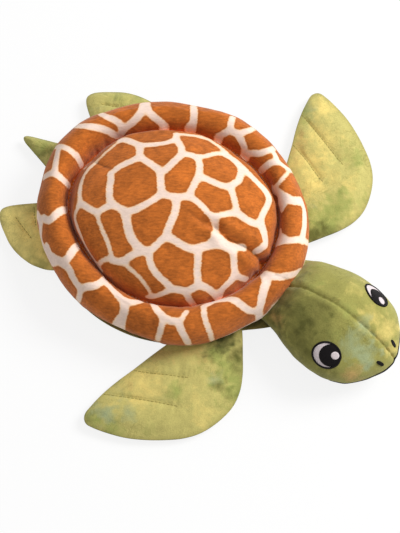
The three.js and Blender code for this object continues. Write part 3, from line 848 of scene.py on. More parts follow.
# %% Pale lines of the dome
dome_lines = [
    (3.4, [(115, 170), (120.5, 166), (127.5, 162.5), (134, 160), (140, 156)]),
    (3.4, [(110.5, 173), (111, 180), (109.5, 187), (109.5, 195), (111, 202), (118, 207), (124, 211)]),
    (1.7, [(94.5, 163), (100, 158), (107, 151.5), (114, 145.5), (120, 141), (126, 138.5)]),
    (3.4, [(120, 140), (126, 140), (132, 142), (139, 145)]),
    (3.6, [(139, 145), (140, 151), (140, 156), (147, 161.5), (154, 166), (160, 171)]),
    (3.0, [(139, 145), (147, 145), (156, 144.2), (165, 143), (172, 141), (176, 138), (176, 134)]),
    (3.6, [(160, 171), (165, 170), (169.5, 166), (174, 161.5), (179, 157), (182, 153.5)]),
    (3.4, [(176, 138), (179, 143), (181.5, 148), (182, 153.5), (189, 154.5), (196, 156.5)]),
    (2.6, [(196, 156.5), (205, 156.3), (213, 154), (221, 153.5), (227, 155.5)]),
    (2.0, [(178, 134), (188, 135), (199, 136.6), (207, 139), (214, 143), (221, 148), (227, 153)]),
    (3.6, [(224, 154), (231, 158), (237, 163), (241, 168), (241, 174), (238, 181), (231, 185.5)]),
    (3.4, [(237, 162), (244, 169), (251, 176), (259, 184), (265.5, 191), (269, 198)]),
    (3.4, [(196, 156.5), (199.5, 163), (199.5, 170), (198, 177), (194, 185), (191, 191), (189, 197)]),
    (3.4, [(198, 177), (204, 178), (211, 181), (218, 184), (225, 186.5), (231, 185.5)]),
    (3.0, [(231, 185.5), (233, 195), (235.3, 203), (237, 212)]),
    (3.6, [(160, 171), (160.5, 178), (161, 186), (162, 194)]),
    (3.6, [(124, 211), (131, 211), (138, 208.3), (145, 204.5), (152, 200.5), (158, 196.5), (162, 194),
           (169, 196), (177, 197), (184, 196.5), (190, 196.5)]),
    (3.0, [(190, 196.5), (197, 201.5), (203, 207), (208, 212.5), (213, 217.5)]),
    (3.2, [(213, 217.5), (220, 215), (227, 213.8), (237, 213)]),
    (3.4, [(237, 213), (243, 217), (249, 221), (255, 223.5), (260.5, 222)]),
    (3.2, [(260.5, 222), (262.5, 215), (265.5, 209), (268.5, 203), (270, 197)]),
    (4.0, [(260.5, 222), (263, 229), (265, 237), (266, 244), (261, 248.5), (256.5, 251.5)]),
    (3.6, [(177, 197), (176, 206), (174.5, 214), (171.5, 221), (168, 229), (165.5, 237)]),
    (3.2, [(213, 217.5), (215.5, 224), (216, 231), (214, 238), (210, 244)]),
    (4.2, [(215, 234), (221, 238), (227, 243), (235, 246.5), (243, 248)]),
    (4.0, [(197, 248.5), (204, 246.5), (211, 245), (219, 244.5), (227, 247), (233, 251)]),
    (3.6, [(165.5, 237), (172, 239), (178, 242.5), (184, 246.3), (190, 248.3), (197, 248.5)]),
    (3.4, [(197, 248.5), (198, 256), (197.7, 264), (197, 272), (198, 279), (198, 285)]),
    (3.4, [(165.5, 237), (160, 241.5), (155, 246.5), (149, 251.5)]),
    (4.2, [(149, 251.5), (143, 250.5), (137, 245.5), (132, 239), (129, 232), (127.3, 224), (126, 217),
           (124, 211)]),
    (3.2, [(149, 251.5), (149.5, 260), (152, 267), (156, 273), (161.5, 279), (167.5, 284),
           (172, 289)]),
    (3.4, [(172, 289), (179, 290), (186, 291.5), (192, 289), (198, 285)]),
    (3.4, [(198, 285), (205, 287), (211, 291), (216, 296), (219, 299)]),
    (3.0, [(186, 291.5), (188, 297), (192, 303), (195, 306)]),
    (3.8, [(219, 298), (222, 290), (227, 285), (232, 280), (235, 273)]),
    (3.2, [(233, 251), (233.8, 257), (234.2, 265), (235, 273), (240, 277.5), (247, 279.5)]),
    (2.4, [(172, 289), (166, 292), (159, 295), (152, 297), (147, 297)]),
    (2.0, [(124, 263.5), (129, 268), (135, 273.2), (141, 279), (145.5, 285), (149.5, 291), (152, 297)]),
    (3.4, [(112, 260), (118, 261.5), (124, 261), (129, 257), (135, 253.7), (142, 251)]),
    (2.0, [(97, 212), (98.5, 220), (101, 227), (104.5, 235), (108, 243), (110.3, 251), (112, 259)]),
    (3.2, [(118, 207), (112, 206), (106, 207), (101, 210), (97, 212), (91, 209.5), (85, 206),
           (80.5, 203)]),
    (2.2, [(94, 164), (88, 169), (84, 175), (81, 183), (79.7, 192), (79.5, 200), (77.5, 208),
           (74.5, 216), (76, 224), (79.5, 233), (84, 243), (89, 252), (94, 259.5), (99, 267),
           (102, 271)]),
    (2.4, [(98, 265), (103, 260.5), (108, 259), (112, 260)]),
    (3.0, [(78, 158), (81, 163), (85, 168)]),
]

# %% [markdown]
# The crease swallows a strip of the print, so the lines of the rim don't go on where those of
# the dome end. They are a list of their own, which is cast onto the rim alone.

# %% Pale lines of the rim
rim_lines = [
    (3.6, [(68, 123), (76, 126), (84, 125.7), (92, 126.6), (101, 128.5), (108, 131.3),
           (114, 134.5), (119, 137)]),
    (3.2, [(96, 110), (102, 114.5), (109, 117.5), (116, 121), (121.5, 125.5), (121.5, 132)]),
    (3.8, [(144, 99), (143, 105), (141.5, 111), (138.5, 116), (134, 121), (129, 125.5),
           (124, 130), (119, 137)]),
    (3.6, [(147, 100), (147, 106), (149, 112), (153, 116), (159, 121), (165, 126), (171, 130),
           (180, 130.5), (187, 128.5), (192, 124)]),
    (3.6, [(193.5, 101), (193.7, 108), (194, 115), (193.3, 123), (192, 131)]),
    (3.2, [(210, 137.6), (218, 136.5), (225, 133), (230.5, 130)]),
    (3.2, [(235, 113), (232, 119.5), (230.5, 126), (233, 132), (239, 134), (245, 131.5),
           (250.5, 130), (256, 127)]),
    (3.4, [(237, 133), (240.5, 139), (243.5, 146), (245.5, 153), (246.5, 161)]),
    (3.2, [(246, 154), (252, 153.3), (259, 153.3), (266, 151.3), (272.5, 149), (279, 145)]),
    (3.4, [(272, 150), (275.5, 155), (277, 162)]),
    (3.2, [(258, 174), (262.5, 169.5), (267, 165.5), (272, 162.5), (278, 162), (284, 166),
           (290, 170), (297, 174.5), (303, 181), (307, 188)]),
    (2.0, [(290, 171), (286, 175), (281, 180.5), (277, 185), (273, 189.5)]),
    (4.6, [(273, 189.5), (279, 194), (286, 198.5), (294, 200.5), (302, 201)]),
    (3.6, [(279, 194), (279.5, 201), (281, 208)]),
    (4.4, [(302, 201), (304.5, 209), (305, 219), (304.5, 229), (302, 240)]),
    (4.6, [(285, 197), (283, 203), (281.5, 208)]),
    (3.8, [(280, 232), (279, 240), (273, 244.5)]),
    (3.6, [(280, 236), (286, 240)]),
    (3.2, [(270, 247.5), (276, 244.5), (283, 241.5), (291, 240.3), (302, 240), (308, 243)]),
    (3.4, [(264, 274), (271, 275.5), (279, 277), (286, 276), (293, 274.5), (300, 271)]),
    (4.2, [(264, 274), (266.5, 281), (264.5, 288), (262.5, 296), (261, 304), (259, 312), (260, 320)]),
    (3.4, [(206, 305), (214, 301.7), (222, 300), (230, 299), (236, 301), (242, 305.5), (249, 310.5),
           (259, 312)]),
    (2.6, [(203.5, 306), (204.2, 314), (206, 322), (209, 330), (211, 336), (213, 343)]),
    (2.2, [(187, 311), (184, 315), (181.5, 321)]),
    (3.4, [(170, 321), (177, 321.3), (180, 327), (183, 334), (187, 341), (190, 348)]),
    (3.4, [(104, 280), (110, 286.5), (116, 293), (122, 299), (129, 302), (138, 301.5), (147, 301),
           (153, 304), (157.5, 310), (162.5, 316), (170, 321)]),
    (2.8, [(163, 318), (161.5, 326), (159.5, 334), (157, 342), (155, 349)]),
    (4.2, [(124, 301), (124.5, 308), (123, 315), (118, 322), (114, 329)]),
    (4.0, [(123, 315), (122, 322), (121, 331)]),
    (3.6, [(80.5, 289), (87, 286.7), (94, 285.5), (100, 283), (105, 279)]),
    (3.2, [(80.5, 289), (79.5, 295), (78, 301), (75, 306)]),
    (3.6, [(50, 264), (58, 262), (64, 265), (69, 269), (72, 276), (76, 283), (80.5, 289)]),
    (3.8, [(47, 246), (51, 255), (58, 260), (65, 261), (70, 255), (75, 248), (80, 245)]),
    (4.6, [(36, 212), (40, 222), (40.4, 233), (41.5, 241), (44.5, 249), (51, 259)]),
    (3.8, [(43, 218), (49, 220.5), (54, 216), (60, 211.5), (66, 209.5), (71, 208.5)]),
    (3.4, [(37, 180), (44, 177), (49, 174), (55, 173.5), (60.5, 177.5), (66, 182.5), (70, 187)]),
    (3.2, [(58.5, 147), (57, 154), (55.5, 162), (54, 173)]),
    (3.0, [(76.5, 155), (79, 160), (82, 166)]),
    (2.8, [(47, 148), (53, 148), (59, 146), (65, 147.5), (71, 151), (75, 155)]),
]

# %% [markdown]
# A kd-tree finds the nearest of many points quickly. The points of all the lines of one width go
# into one tree, and a wide line counts as nearer by what its half has more than a usual half
# line. For the hidden side, the depth in a patch is worked out from the spread points: it is 0
# halfway between the nearest two, and softly rounded where three meet.

# %% Distance to the pale lines
half_line = 2.6
pixel_size = 0.77
hem_level = 20.0
line_spacing = 1.5
hidden_patch_spacing = 29.0
hidden_patch_room = 21.0
hidden_loops = [(1.42, 0.5), (1.68, 0.0), (1.95, 0.5)]
patch_softness = 1.1
batch = 8000
far_away = 1000


def through(places, values, at):
    """A smooth curve through values at places, read at other places."""
    slopes = np.gradient(values, places)
    k = np.clip(np.searchsorted(places, at, side="right") - 1, 0, len(places) - 2)
    span = places[k + 1] - places[k]
    t = (at - places[k]) / span
    return (values[k] * (1 + 2 * t) * (1 - t) ** 2 + slopes[k] * span * t * (1 - t) ** 2
            + values[k + 1] * t * t * (3 - 2 * t) + slopes[k + 1] * span * t * t * (t - 1))


def smooth_line(corners, spacing):
    """Evenly spaced points on a smooth curve through corners."""
    corners = np.array(corners, dtype=float)
    steps = np.sqrt(np.linalg.norm(np.diff(corners, axis=0), axis=1))
    knots = np.concatenate([[0], np.cumsum(steps)])
    fine = np.linspace(0, knots[-1], 60 * len(corners))
    curve = np.stack([through(knots, corners[:, k], fine) for k in range(2)], axis=1)
    run = run_along(curve)
    count = max(int(round(run[-1] / spacing)), 2)
    even = np.linspace(0, run[-1], count + 1)
    return np.stack([np.interp(even, run, curve[:, k]) for k in range(2)], axis=1)


def cast_lines(lines, surface):
    """The pale lines' points on a surface, in one kd-tree for each width of line."""
    groups = {}
    for half_width, pixels in lines:
        for pixel in smooth_line(pixels, line_spacing):
            place = point_at(pixel, surface, hem_level)
            groups.setdefault(half_width, []).append(place)
    trees = []
    for half_width, places in groups.items():
        tree = KDTree(len(places))
        for number, place in enumerate(places):
            tree.insert(place, number)
        tree.balance()
        trees.append((half_width * pixel_size - half_line, tree))
    return trees


def line_depth(points, trees):
    """How far each point is from the nearest pale line's middle, wide lines counting as near."""
    return np.array([min(tree.find(point)[2] - wider for wider, tree in trees)
                     for point in points])


def hidden_points():
    """Evenly spread points on the part of the rim that the camera does not see."""
    places = []
    around = int(2 * math.pi * shell_half_width / hidden_patch_spacing)
    for level, (run, shift) in enumerate(hidden_loops):
        for k in range(around):
            wobble = 0.25 * noise.noise(Vector((k * 3.7, level * 5.1, 0.5)))
            turn = (k + shift + wobble) * 2 * math.pi / around
            place = shell_surface(np.array([turn]), np.array([run]))[0]
            if all(np.linalg.norm(place - other) > hidden_patch_room for other in places):
                places.append(place)
    return np.array(places)


def patch_depth(points, places):
    """How deep each point lies inside its patch: 0 halfway between two patches."""
    depth = np.empty(len(points))
    for start in range(0, len(points), batch):
        some = points[start:start + batch]
        squares = ((some[:, None] - places) ** 2).sum(axis=2)
        nearest = squares.argmin(axis=1)
        own = squares[np.arange(len(some)), nearest]
        gap = np.linalg.norm(places[nearest][:, None] - places, axis=2) + 1e-9
        room = (squares - own[:, None]) / (2 * gap)
        room[np.arange(len(some)), nearest] = far_away
        total = np.exp(-np.clip(room, -5, 60) / patch_softness).sum(axis=1)
        depth[start:start + batch] = -patch_softness * np.log(total)
    return depth


def smoothed(mesh, values, rounds):
    """The values averaged with those of the neighbours, round after round."""
    edges = np.empty(len(mesh.edges) * 2, dtype=np.int32)
    mesh.edges.foreach_get("vertices", edges)
    one, other = edges.reshape(-1, 2).T
    count = np.bincount(edges, minlength=len(values))
    for _ in range(rounds):
        total = np.bincount(one, values[other], len(values))
        total += np.bincount(other, values[one], len(values))
        values = 0.5 * values + 0.5 * total / count
    return values


print(len(dome_lines), "pale lines on the dome and", len(rim_lines), "on the rim")

# %% [markdown]
# On the far side the dome hides the crease from the camera, so the print beside the crease is
# taken from the nearest place that shows. A strip of pale hem runs along the border of what the
# camera sees, and widens at the near side.

# %% Print the shell
far_turn, far_reach, far_share = 12, 48, 0.55
dome_shown_run, rim_shown_run = 0.8, 1.13
always_seen_run = 1.3
edge_facing, edge_scale = -0.13, 17
hem_overlap = 1.2
hem_width, hem_turn, hem_reach = 7, -100, 24
print_shrink = 0.45
smoothing_rounds = 8

print_turn = recall(shell_skin, "turn")
print_run = recall(shell_skin, "run")
print_points = points_of(shell_skin)
behind_dome = bell(np.degrees(print_turn) - far_turn, far_reach) > far_share
shown_run = np.where(print_run <= 1, np.minimum(print_run, dome_shown_run),
                     np.maximum(print_run, rim_shown_run))
shown_run = np.where(behind_dome, shown_run, print_run)
shown_points = np.where((shown_run == print_run)[:, None], print_points,
                        shell_surface(print_turn, shown_run))
shell_depth = np.empty(len(print_points))
for lines, is_here, surface in (
    (dome_lines, print_run <= 1, dome_tree),
    (rim_lines, print_run > 1, rim_tree),
):
    shell_depth[is_here] = line_depth(shown_points[is_here], cast_lines(lines, surface))

to_eye = eye_place - print_points
to_eye /= np.linalg.norm(to_eye, axis=1)[:, None]
facing = (normals_of(shell_skin) * to_eye).sum(axis=1)
past_edge = edge_scale * (facing - edge_facing) + 1.6 * wander(print_points, 22, 31.0)
seen = (print_run < always_seen_run) | (past_edge > 0)
hidden_depth = np.minimum(patch_depth(print_points, hidden_points()), -past_edge)
hem = hem_width * bell(np.degrees(print_turn) - hem_turn, hem_reach)
edge_depth = np.where(print_run > always_seen_run, past_edge + half_line - hem_overlap - hem,
                      far_away)
shell_depth = np.where(seen, np.minimum(shell_depth, edge_depth), hidden_depth)
shell_depth = np.clip(shell_depth - print_shrink, 0.4, 12)
shell_depth = smoothed(shell_skin.data, shell_depth, smoothing_rounds)
remember(shell_skin, "patch_depth", shell_depth)
print("the print covers", round(100 * (shell_depth > half_line).mean()), "% of the cloth")

# %% [markdown]
# The print is on the tips of the hairs, so a patch's border is not a clean line: hairs cross it,
# and a little of the orange tints the pale cloth beside it. The ramp runs from the pale middle of
# a line through that tint into the orange, over the depth that the mesh carries, and the grain of
# the nap moves it to and fro.

# %% Printed cloth
border_fuzz = 0.35

printed_cloth, tree, shader = new_material("giraffe_print_plush")
cloth_nap = use_group(tree, nap, {"Grain": 1000.0, "Streak": 0.8})
depth = remembered(tree, "patch_depth")
fuzz = remap(tree, cloth_nap.outputs["Height"], 0.35, 0.65, -border_fuzz, border_fuzz)
into_patch = calculate(tree, "SUBTRACT", calculate(tree, "ADD", depth, fuzz), half_line)
ramp = add_node(tree, "ShaderNodeValToRGB", {"Fac": remap(tree, into_patch, -3.0, 3.0)})
ramp.color_ramp.elements[0].position = 0.28
ramp.color_ramp.elements[0].color = linear(238, 213, 198)
ramp.color_ramp.elements[1].position = 0.42
ramp.color_ramp.elements[1].color = linear(241, 207, 174)
for position, colour in ((0.5, (206, 138, 84)), (0.57, (172, 92, 32)), (0.8, (185, 101, 37))):
    ramp.color_ramp.elements.new(position).color = linear(*colour)
cloudy = noise_in(tree, place_in(tree), 38.0, 4.0, Roughness=0.6)
uneven = remap(tree, cloudy, 0.3, 0.7, 0.84, 1.12)
light_and_dark = remap(tree, cloth_nap.outputs["Shade"], 0.0, 1.0, 0.64, 1.3)
tone = calculate(tree, "MULTIPLY", uneven, light_and_dark)
in_orange = remap(tree, into_patch, -0.5, 1.0)
pale_tone = remap(tree, cloth_nap.outputs["Shade"], 0.0, 1.0, 0.88, 1.07)
both = add_node(tree, "ShaderNodeMix", {0: in_orange, 2: pale_tone, 3: tone},
                data_type="FLOAT").outputs[0]
# Painted shade and light: the colour darkens in the darts and folds and brightens along the crease.
painted_fold_light_factor = remap(tree, remembered(tree, "painted_fold_shade_and_crease_light"), -1.0, 1.0, 1.78, 0.22)
toned = scaled(tree, ramp.outputs["Color"], calculate(tree, "MULTIPLY", both, painted_fold_light_factor))
tree.links.new(toned, shader.inputs["Base Color"])
give_nap(tree, shader, cloth_nap.outputs["Height"], 0.7)

dress(shell_skin, printed_cloth)
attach(shell_skin, "shell")
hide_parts("shell_top_panel", "dome_stuffing", "rim_stuffing")
print("shell_skin is dressed in", printed_cloth.name)

# %% [markdown]
# ## Watercolour dyes
# The green plush is dyed like a watercolour: yellow, deep green, grey-blue and tan run into each
# other without an edge. A noise alone would put the colours anywhere, so the photograph's own
# clouds are named as spots: a dye, the pixel of its middle, its radius in pixels and its
# strength. Each point of a skin keeps how much of each dye it has, and the material lets noise
# break the borders of the clouds. The darkest dye is painted shade, put where the shell shades
# the cloth, and the straw dye is partly painted light that lifts the shade on the near rear flipper.

# %% Dye spots on cloth
dyes = {
    "yellow": (222, 199, 117),
    "fresh": (148, 154, 82),
    "teal": (154, 164, 122),
    "tan": (200, 166, 102),
    "deep": (92, 92, 42),
    # painted shade: a near-black green put where the shell and its rim shade the cloth
    "painted_shade": (50, 54, 22),
    # partly painted light: a paler straw that lifts the shell's shade on the near rear flipper
    "straw_and_painted_light": (250, 228, 140),
}
spot_warp = 0.3


def dye_cloth(piece, spots):
    """Keeps the amount of each dye at each point of a piece."""
    places = points_of(piece)
    seen = pixels_of(places)
    for number, dye in enumerate(dyes):
        amount = np.zeros(len(seen))
        warp = wander(places, 9, 20.0 + number) + wander(places, 4, 40.0 + number)
        for name, across, down, radius, strength in spots:
            if name == dye:
                away = np.hypot(seen[:, 0] - across, seen[:, 1] - down)
                away = away * (1 + spot_warp * warp)
                amount = 1 - (1 - amount) * (1 - strength * bell(away, radius))
        remember(piece, "dye_" + dye, amount)


print("dyes", ", ".join(dyes))

# %% [markdown]
# The group lays the dyes over a ground colour one after the other, as washes. Where a wash is
# strong enough is decided by the amount that the point carries and by a noise together, so its
# border is ragged like that of real dye. Thin darker veins run where the dye pooled.

# %% Cloud group


def blend_colours(tree, factor, first, second, way="MIX"):
    """Two colours mixed, the second by a factor over the first."""
    made = add_node(tree, "ShaderNodeMix", {0: factor, 6: first, 7: second},
                    data_type="RGBA", blend_type=way)
    return made.outputs[2]


clouds, clouds_in, clouds_out = new_group(
    "dye_clouds",
    {"Ground": (0.4, 0.4, 0.15, 1.0), "Spread": 1.5},
    {"Color": "NodeSocketColor"},
)
place = place_in(clouds)
colour = clouds_in.outputs["Ground"]
for step, (dye, screen) in enumerate(dyes.items()):
    amount = remembered(clouds, "dye_" + dye)
    shifted = add_node(clouds, "ShaderNodeVectorMath", {0: place, 1: (step * 1.7, 0.4, 0.2)},
                       operation="ADD").outputs["Vector"]
    cloud = noise_in(clouds, shifted, 62.0, 7.0, Roughness=0.66, Distortion=0.7)
    uneven = calculate(clouds, "MULTIPLY", calculate(clouds, "SUBTRACT", cloud, 0.5),
                       clouds_in.outputs["Spread"])
    wet = calculate(clouds, "ADD", amount, uneven)
    colour = blend_colours(clouds, remap(clouds, wet, 0.2, 0.85, 0.0, 0.92), colour,
                           linear(*screen))
veins = noise_in(clouds, place, 95.0, 3.0, Roughness=0.55, Distortion=1.6)
off_vein = calculate(clouds, "ABSOLUTE", calculate(clouds, "SUBTRACT", veins, 0.5))
in_vein = remap(clouds, off_vein, 0.0, 0.035, 1.0, 0.0)
patchy = noise_in(clouds, place, 40.0, 2.0)
faint = calculate(clouds, "MULTIPLY", in_vein, remap(clouds, patchy, 0.42, 0.62, 0.0, 0.3))
colour = blend_colours(clouds, faint, colour, linear(112, 116, 60), "MULTIPLY")
clouds.links.new(colour, clouds_out.inputs["Color"])


def dyed_plush(name, ground):
    """A green plush: a ground colour, the dye clouds over it, the nap's light and shade, and painted
    shade at a limb's seam.
    """
    material, tree, shader = new_material(name)
    cloth_nap = use_group(tree, nap, {"Grain": 950.0, "Streak": 0.25})
    clouded = use_group(tree, clouds, {"Ground": linear(*ground)})
    tone = remap(tree, cloth_nap.outputs["Shade"], 0.0, 1.0, 0.86, 1.11)
    # Painted shade: the colour darkens along a limb's seam, where its rounded edge turns into shade.
    painted_seam_shade = remap(tree, remembered(tree, "painted_seam_shade"), 0.0, 1.0, 1.0, 0.62)
    toned = scaled(tree, clouded.outputs["Color"], calculate(tree, "MULTIPLY", tone, painted_seam_shade))
    tree.links.new(toned, shader.inputs["Base Color"])
    give_nap(tree, shader, cloth_nap.outputs["Height"], 0.6)
    return material


green_cloth = dyed_plush("green_dyed_plush", (188, 178, 106))
head_cloth = dyed_plush("head_dyed_plush", (150, 146, 78))
print("cloud group has", len(clouds.nodes), "nodes")

# %% [markdown]
# ## The belly
# Under the shell is a plain green panel, sewn to the print all round and flattened where the
# turtle rests on it. It is the same kind of grid as the dome, bent over a quarter of an oval.
# Between the near front flipper and the neck the cloth is drawn out past the rim, as a small web.

# %% Belly
belly_flat_radius = 72.0
belly_edge = seam_radius - 0.4
belly_thickness = 2.0
belly_cells = 44
web_angles = [-120, -116, -112.5, -109, -105.5, -103.5, -99, -94]
web_reaches = [0, 1, 4.2, 8, 12, 14.2, 8, 0]
web_rise = 0.25


def belly_side(side, lift):
    """The panel's lower or upper side as points on a disc."""
    disc, faces, border = disc_grid(belly_cells)
    radius = np.hypot(disc[:, 0], disc[:, 1])
    turn = np.arctan2(disc[:, 1], disc[:, 0])
    across = radius * belly_edge
    past = np.clip((across - belly_flat_radius) / (belly_edge - belly_flat_radius), 0, 1)
    height = (seam_height - 0.2) * (1 - np.sqrt(1 - past ** 2)) + lift * (1 - past ** 4)
    web = np.interp(np.degrees(turn), web_angles, web_reaches) * past ** 2
    height = height + web_rise * web
    across = across + web
    points = np.stack([across * np.cos(turn), across * stretch * np.sin(turn), height], axis=1)
    return points, faces if side > 0 else [face[::-1] for face in faces], border


lower_points, lower_faces, border = belly_side(-1, 0.0)
upper_points, upper_faces, _ = belly_side(1, belly_thickness)
offset = len(lower_points)
faces = lower_faces + [tuple(corner + offset for corner in face) for face in upper_faces]
faces += band_faces(border, [corner + offset for corner in border])
belly_skin = cloth_mesh("belly_skin", np.concatenate([lower_points, upper_points]), faces)
places = points_of(belly_skin)
from_middle = np.hypot(places[:, 0], places[:, 1] / stretch)
places[:, 2] += 0.5 * wander(places, 22, 4.0) * smooth_step(belly_flat_radius, belly_edge - 6,
                                                            from_middle)
move_points(belly_skin, places)
subdivide(belly_skin)
# Both spots are painted shade, darkening the web and the belly's edge where the rim shades them.
dye_cloth(belly_skin, [("painted_shade", 262, 322, 30, 0.55), ("deep", 230, 335, 20, 0.6)])
dress(belly_skin, green_cloth)
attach(belly_skin, "shell")
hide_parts("belly_panel")
print("belly_skin spans", round(2 * belly_edge), "mm across")

# %% [markdown]
# ## The head
# The head and neck are one stuffed form that swells towards the eyes and ends in a blunt nose.
# It is lofted through sections whose half-width, crown, widest level and underside are shares of
# the head's sizes. Their squares are interpolated, not the sizes, because a round nose grows like
# a square root from its tip. A seam runs along the middle of the crown and one round the jaw.

# %% Head sections
head_root = -98.0
head_length = 106.0
head_half_width = 41.5
head_height = 57.0
nose_height_share = 0.35
head_turned = math.radians(2.2)
head_turn_start = -105.0
head_tip = math.radians(3.4)
head_tip_height = 22.0
head_stations = np.array([
    [0, 0.7, 0.46, 0.36, 0.07],
    [0.06, 0.72, 0.52, 0.37, 0.065],
    [0.115, 0.76, 0.66, 0.39, 0.055],
    [0.17, 0.8, 0.78, 0.4, 0.045],
    [0.22, 0.84, 0.85, 0.4, 0.035],
    [0.35, 0.935, 0.94, 0.39, 0.03],
    [0.465, 0.985, 1, 0.385, 0.025],
    [0.58, 1, 0.965, 0.38, 0.03],
    [0.68, 0.965, 0.885, 0.37, 0.035],
    [0.765, 0.885, 0.79, 0.36, 0.055],
    [0.845, 0.745, 0.69, 0.355, 0.09],
    [0.905, 0.575, 0.6, 0.35, 0.14],
    [0.96, 0.34, 0.5, 0.35, 0.215],
    [0.99, 0.15, 0.41, 0.35, 0.28],
    [1, 0, nose_height_share, nose_height_share, nose_height_share],
])
cheek_facings = {1: (0.708, -0.249, 0.661), -1: (-0.5, -0.14, 0.855)}
cheek_reach = 17.0
eye_setbacks = {1: 37.4, -1: 42.0}
eye_heights = {1: 41.2, -1: 43.6}


def upper_section(along):
    """A section of the unturned head at a share of its length, from its left side to its crown."""
    return head_surface(np.full(200, along), np.linspace(0, math.pi / 2, 200))


def plain_facing(side):
    """Where an eye is on the unturned head, and the way the head faces there."""
    back_to_eye = eye_setbacks[side] / head_length
    ring = upper_section(1 - back_to_eye)
    ahead = upper_section(1.02 - back_to_eye)
    k = np.abs(ring[:, 2] - eye_heights[side]).argmin()
    facing = np.cross(ahead[k] - ring[k], ring[k + 1] - ring[k - 1])
    facing = facing / np.linalg.norm(facing) * np.sign(facing[0])
    return ring[k] * [side, 1, 1], facing * [side, 1, 1]


def turned_and_tipped(points):
    """The head swung and rolled over a little, which begins in the neck."""
    x, y, z = points[..., 0], points[..., 1], points[..., 2]
    ease = smooth_step(0, 35, head_root - y)
    tipped = head_tip * ease
    x, z = x - tipped * (z - head_tip_height), z + tipped * x
    turned = head_turned * ease
    ahead = head_turn_start - y
    return np.stack([x - turned * ahead, y - turned * x, z], axis=-1)


def lean(points):
    """The head as it lies in the photograph: turned, tipped, and its cheeks rolled a little."""
    leaning = turned_and_tipped(points)
    for side, facing in cheek_facings.items():
        place, plain = plain_facing(side)
        cheek = turned_and_tipped(place)
        plain = turned_and_tipped(place + plain) - cheek
        from_cheek = leaning - cheek
        share = bell(np.linalg.norm(from_cheek, axis=-1), cheek_reach)
        leaning = leaning + share[..., None] * np.cross(np.cross(plain, facing), from_cheek)
    return leaning


def head_surface(along, turn):
    """Points of the head at shares of its length and angles round its section."""
    stations, half_width, crown, level, under = head_stations.T

    def size(shares):
        return np.sqrt(np.maximum(through(stations, shares ** 2, along), 0))

    width = size(half_width) * head_half_width
    middle = through(stations, level, along) * head_height
    reach = np.where(np.sin(turn) > 0, size(crown - level), size(level - under)) * head_height
    y = head_root - head_length * along
    return np.stack([width * np.cos(turn), y, middle + reach * np.sin(turn)], axis=-1)


def tube_faces(rings, count, first=0, inside_out=False):
    """Quads between loops that follow each other, from a first point on."""
    faces = []
    for start in range(first, first + (rings - 1) * count, count):
        here, beyond = loop_from(start, count), loop_from(start + count, count)
        faces += band_faces(beyond, here) if inside_out else band_faces(here, beyond)
    return faces


head_rings, head_around = 88, 128
crowding = 0.55
ring_along = np.sin(np.linspace(0, 1, head_rings) * math.pi / 2)[:-1]
around = (np.arange(head_around) + 0.5) / head_around * 2 * math.pi
around = around + crowding * np.cos(around)
head_along = np.repeat(ring_along, head_around)
head_turn = np.tile(around, len(ring_along))
plain_head_points = head_surface(head_along, head_turn)
head_points = lean(plain_head_points)
head_faces = tube_faces(len(ring_along), head_around, inside_out=True)
last = (len(ring_along) - 1) * head_around
head_faces += ladder_faces(loop_from(last, head_around)[::-1])
head_faces += ladder_faces(loop_from(0, head_around))
head_skin = cloth_mesh("head_skin", head_points, head_faces)
print("head_skin starts with", len(head_points), "points")

# %% [markdown]
# Stuffed cloth is never quite smooth. The crown's seam lies in a narrow groove whose stitches
# pull small dimples, the cloth gathers where the neck goes in under the rim, and the filling
# leaves shallow lumps.

# %% Head wrinkles
jaw_height = 19.0
seam_groove = 2.0
seam_wander = 2.4
dimple_spacing = 5.5
head_cap, head_voxel = 0.7, 5.0


def from_head_seam(points):
    """How far to the left of the crown's seam each point is, by its place on the plain head."""
    return points[:, 0] - seam_wander * smooth_step(0, 40, head_root - points[:, 1])


def head_wrinkles(points):
    """How far each point of the head moves along its normal, by its place on the plain head."""
    _, y, z = points.T
    back_from_nose = y - (head_root - head_length)
    move = 0.45 * wander(points, 20, 2.0) + 0.22 * wander(points, 8, 6.0)
    on_top = smooth_step(18, 24, z)
    dimples = 0.75 + 0.25 * np.sin(y * 2 * math.pi / dimple_spacing)
    from_seam = from_head_seam(points)
    move -= seam_groove * hollow(from_seam, (0.65, 0.8), (0.35, 2.6)) * on_top * dimples
    move += 0.5 * bell(np.abs(from_seam) - 4, 3) * on_top
    move -= 0.7 * bell(z - jaw_height, 1.1) * smooth_step(2, 8, back_from_nose)
    gathers = wander(points * [1, 0.25, 1], 6.5, 5.0)
    move -= 0.9 * np.maximum(gathers, 0) * bell(y - head_root, 24)
    return move


wrinkles = head_wrinkles(plain_head_points)
move_points(head_skin, head_points + normals_of(head_skin) * wrinkles[:, None])
from_root = smooth_step(8, 25, head_root - plain_head_points[:, 1])
from_seam = from_head_seam(plain_head_points)
settle(head_skin, head_cap, head_voxel, from_root * smooth_step(1, 6, np.abs(from_seam)))
remember(head_skin, "from_seam", from_seam)
subdivide(head_skin)
print("head_skin has", len(head_skin.data.vertices), "points")

# %% [markdown]
# The panel on the near side of the crown's seam was dyed deeper than its neighbour, as far as
# the eyes, so the two panels meet in a clear line.

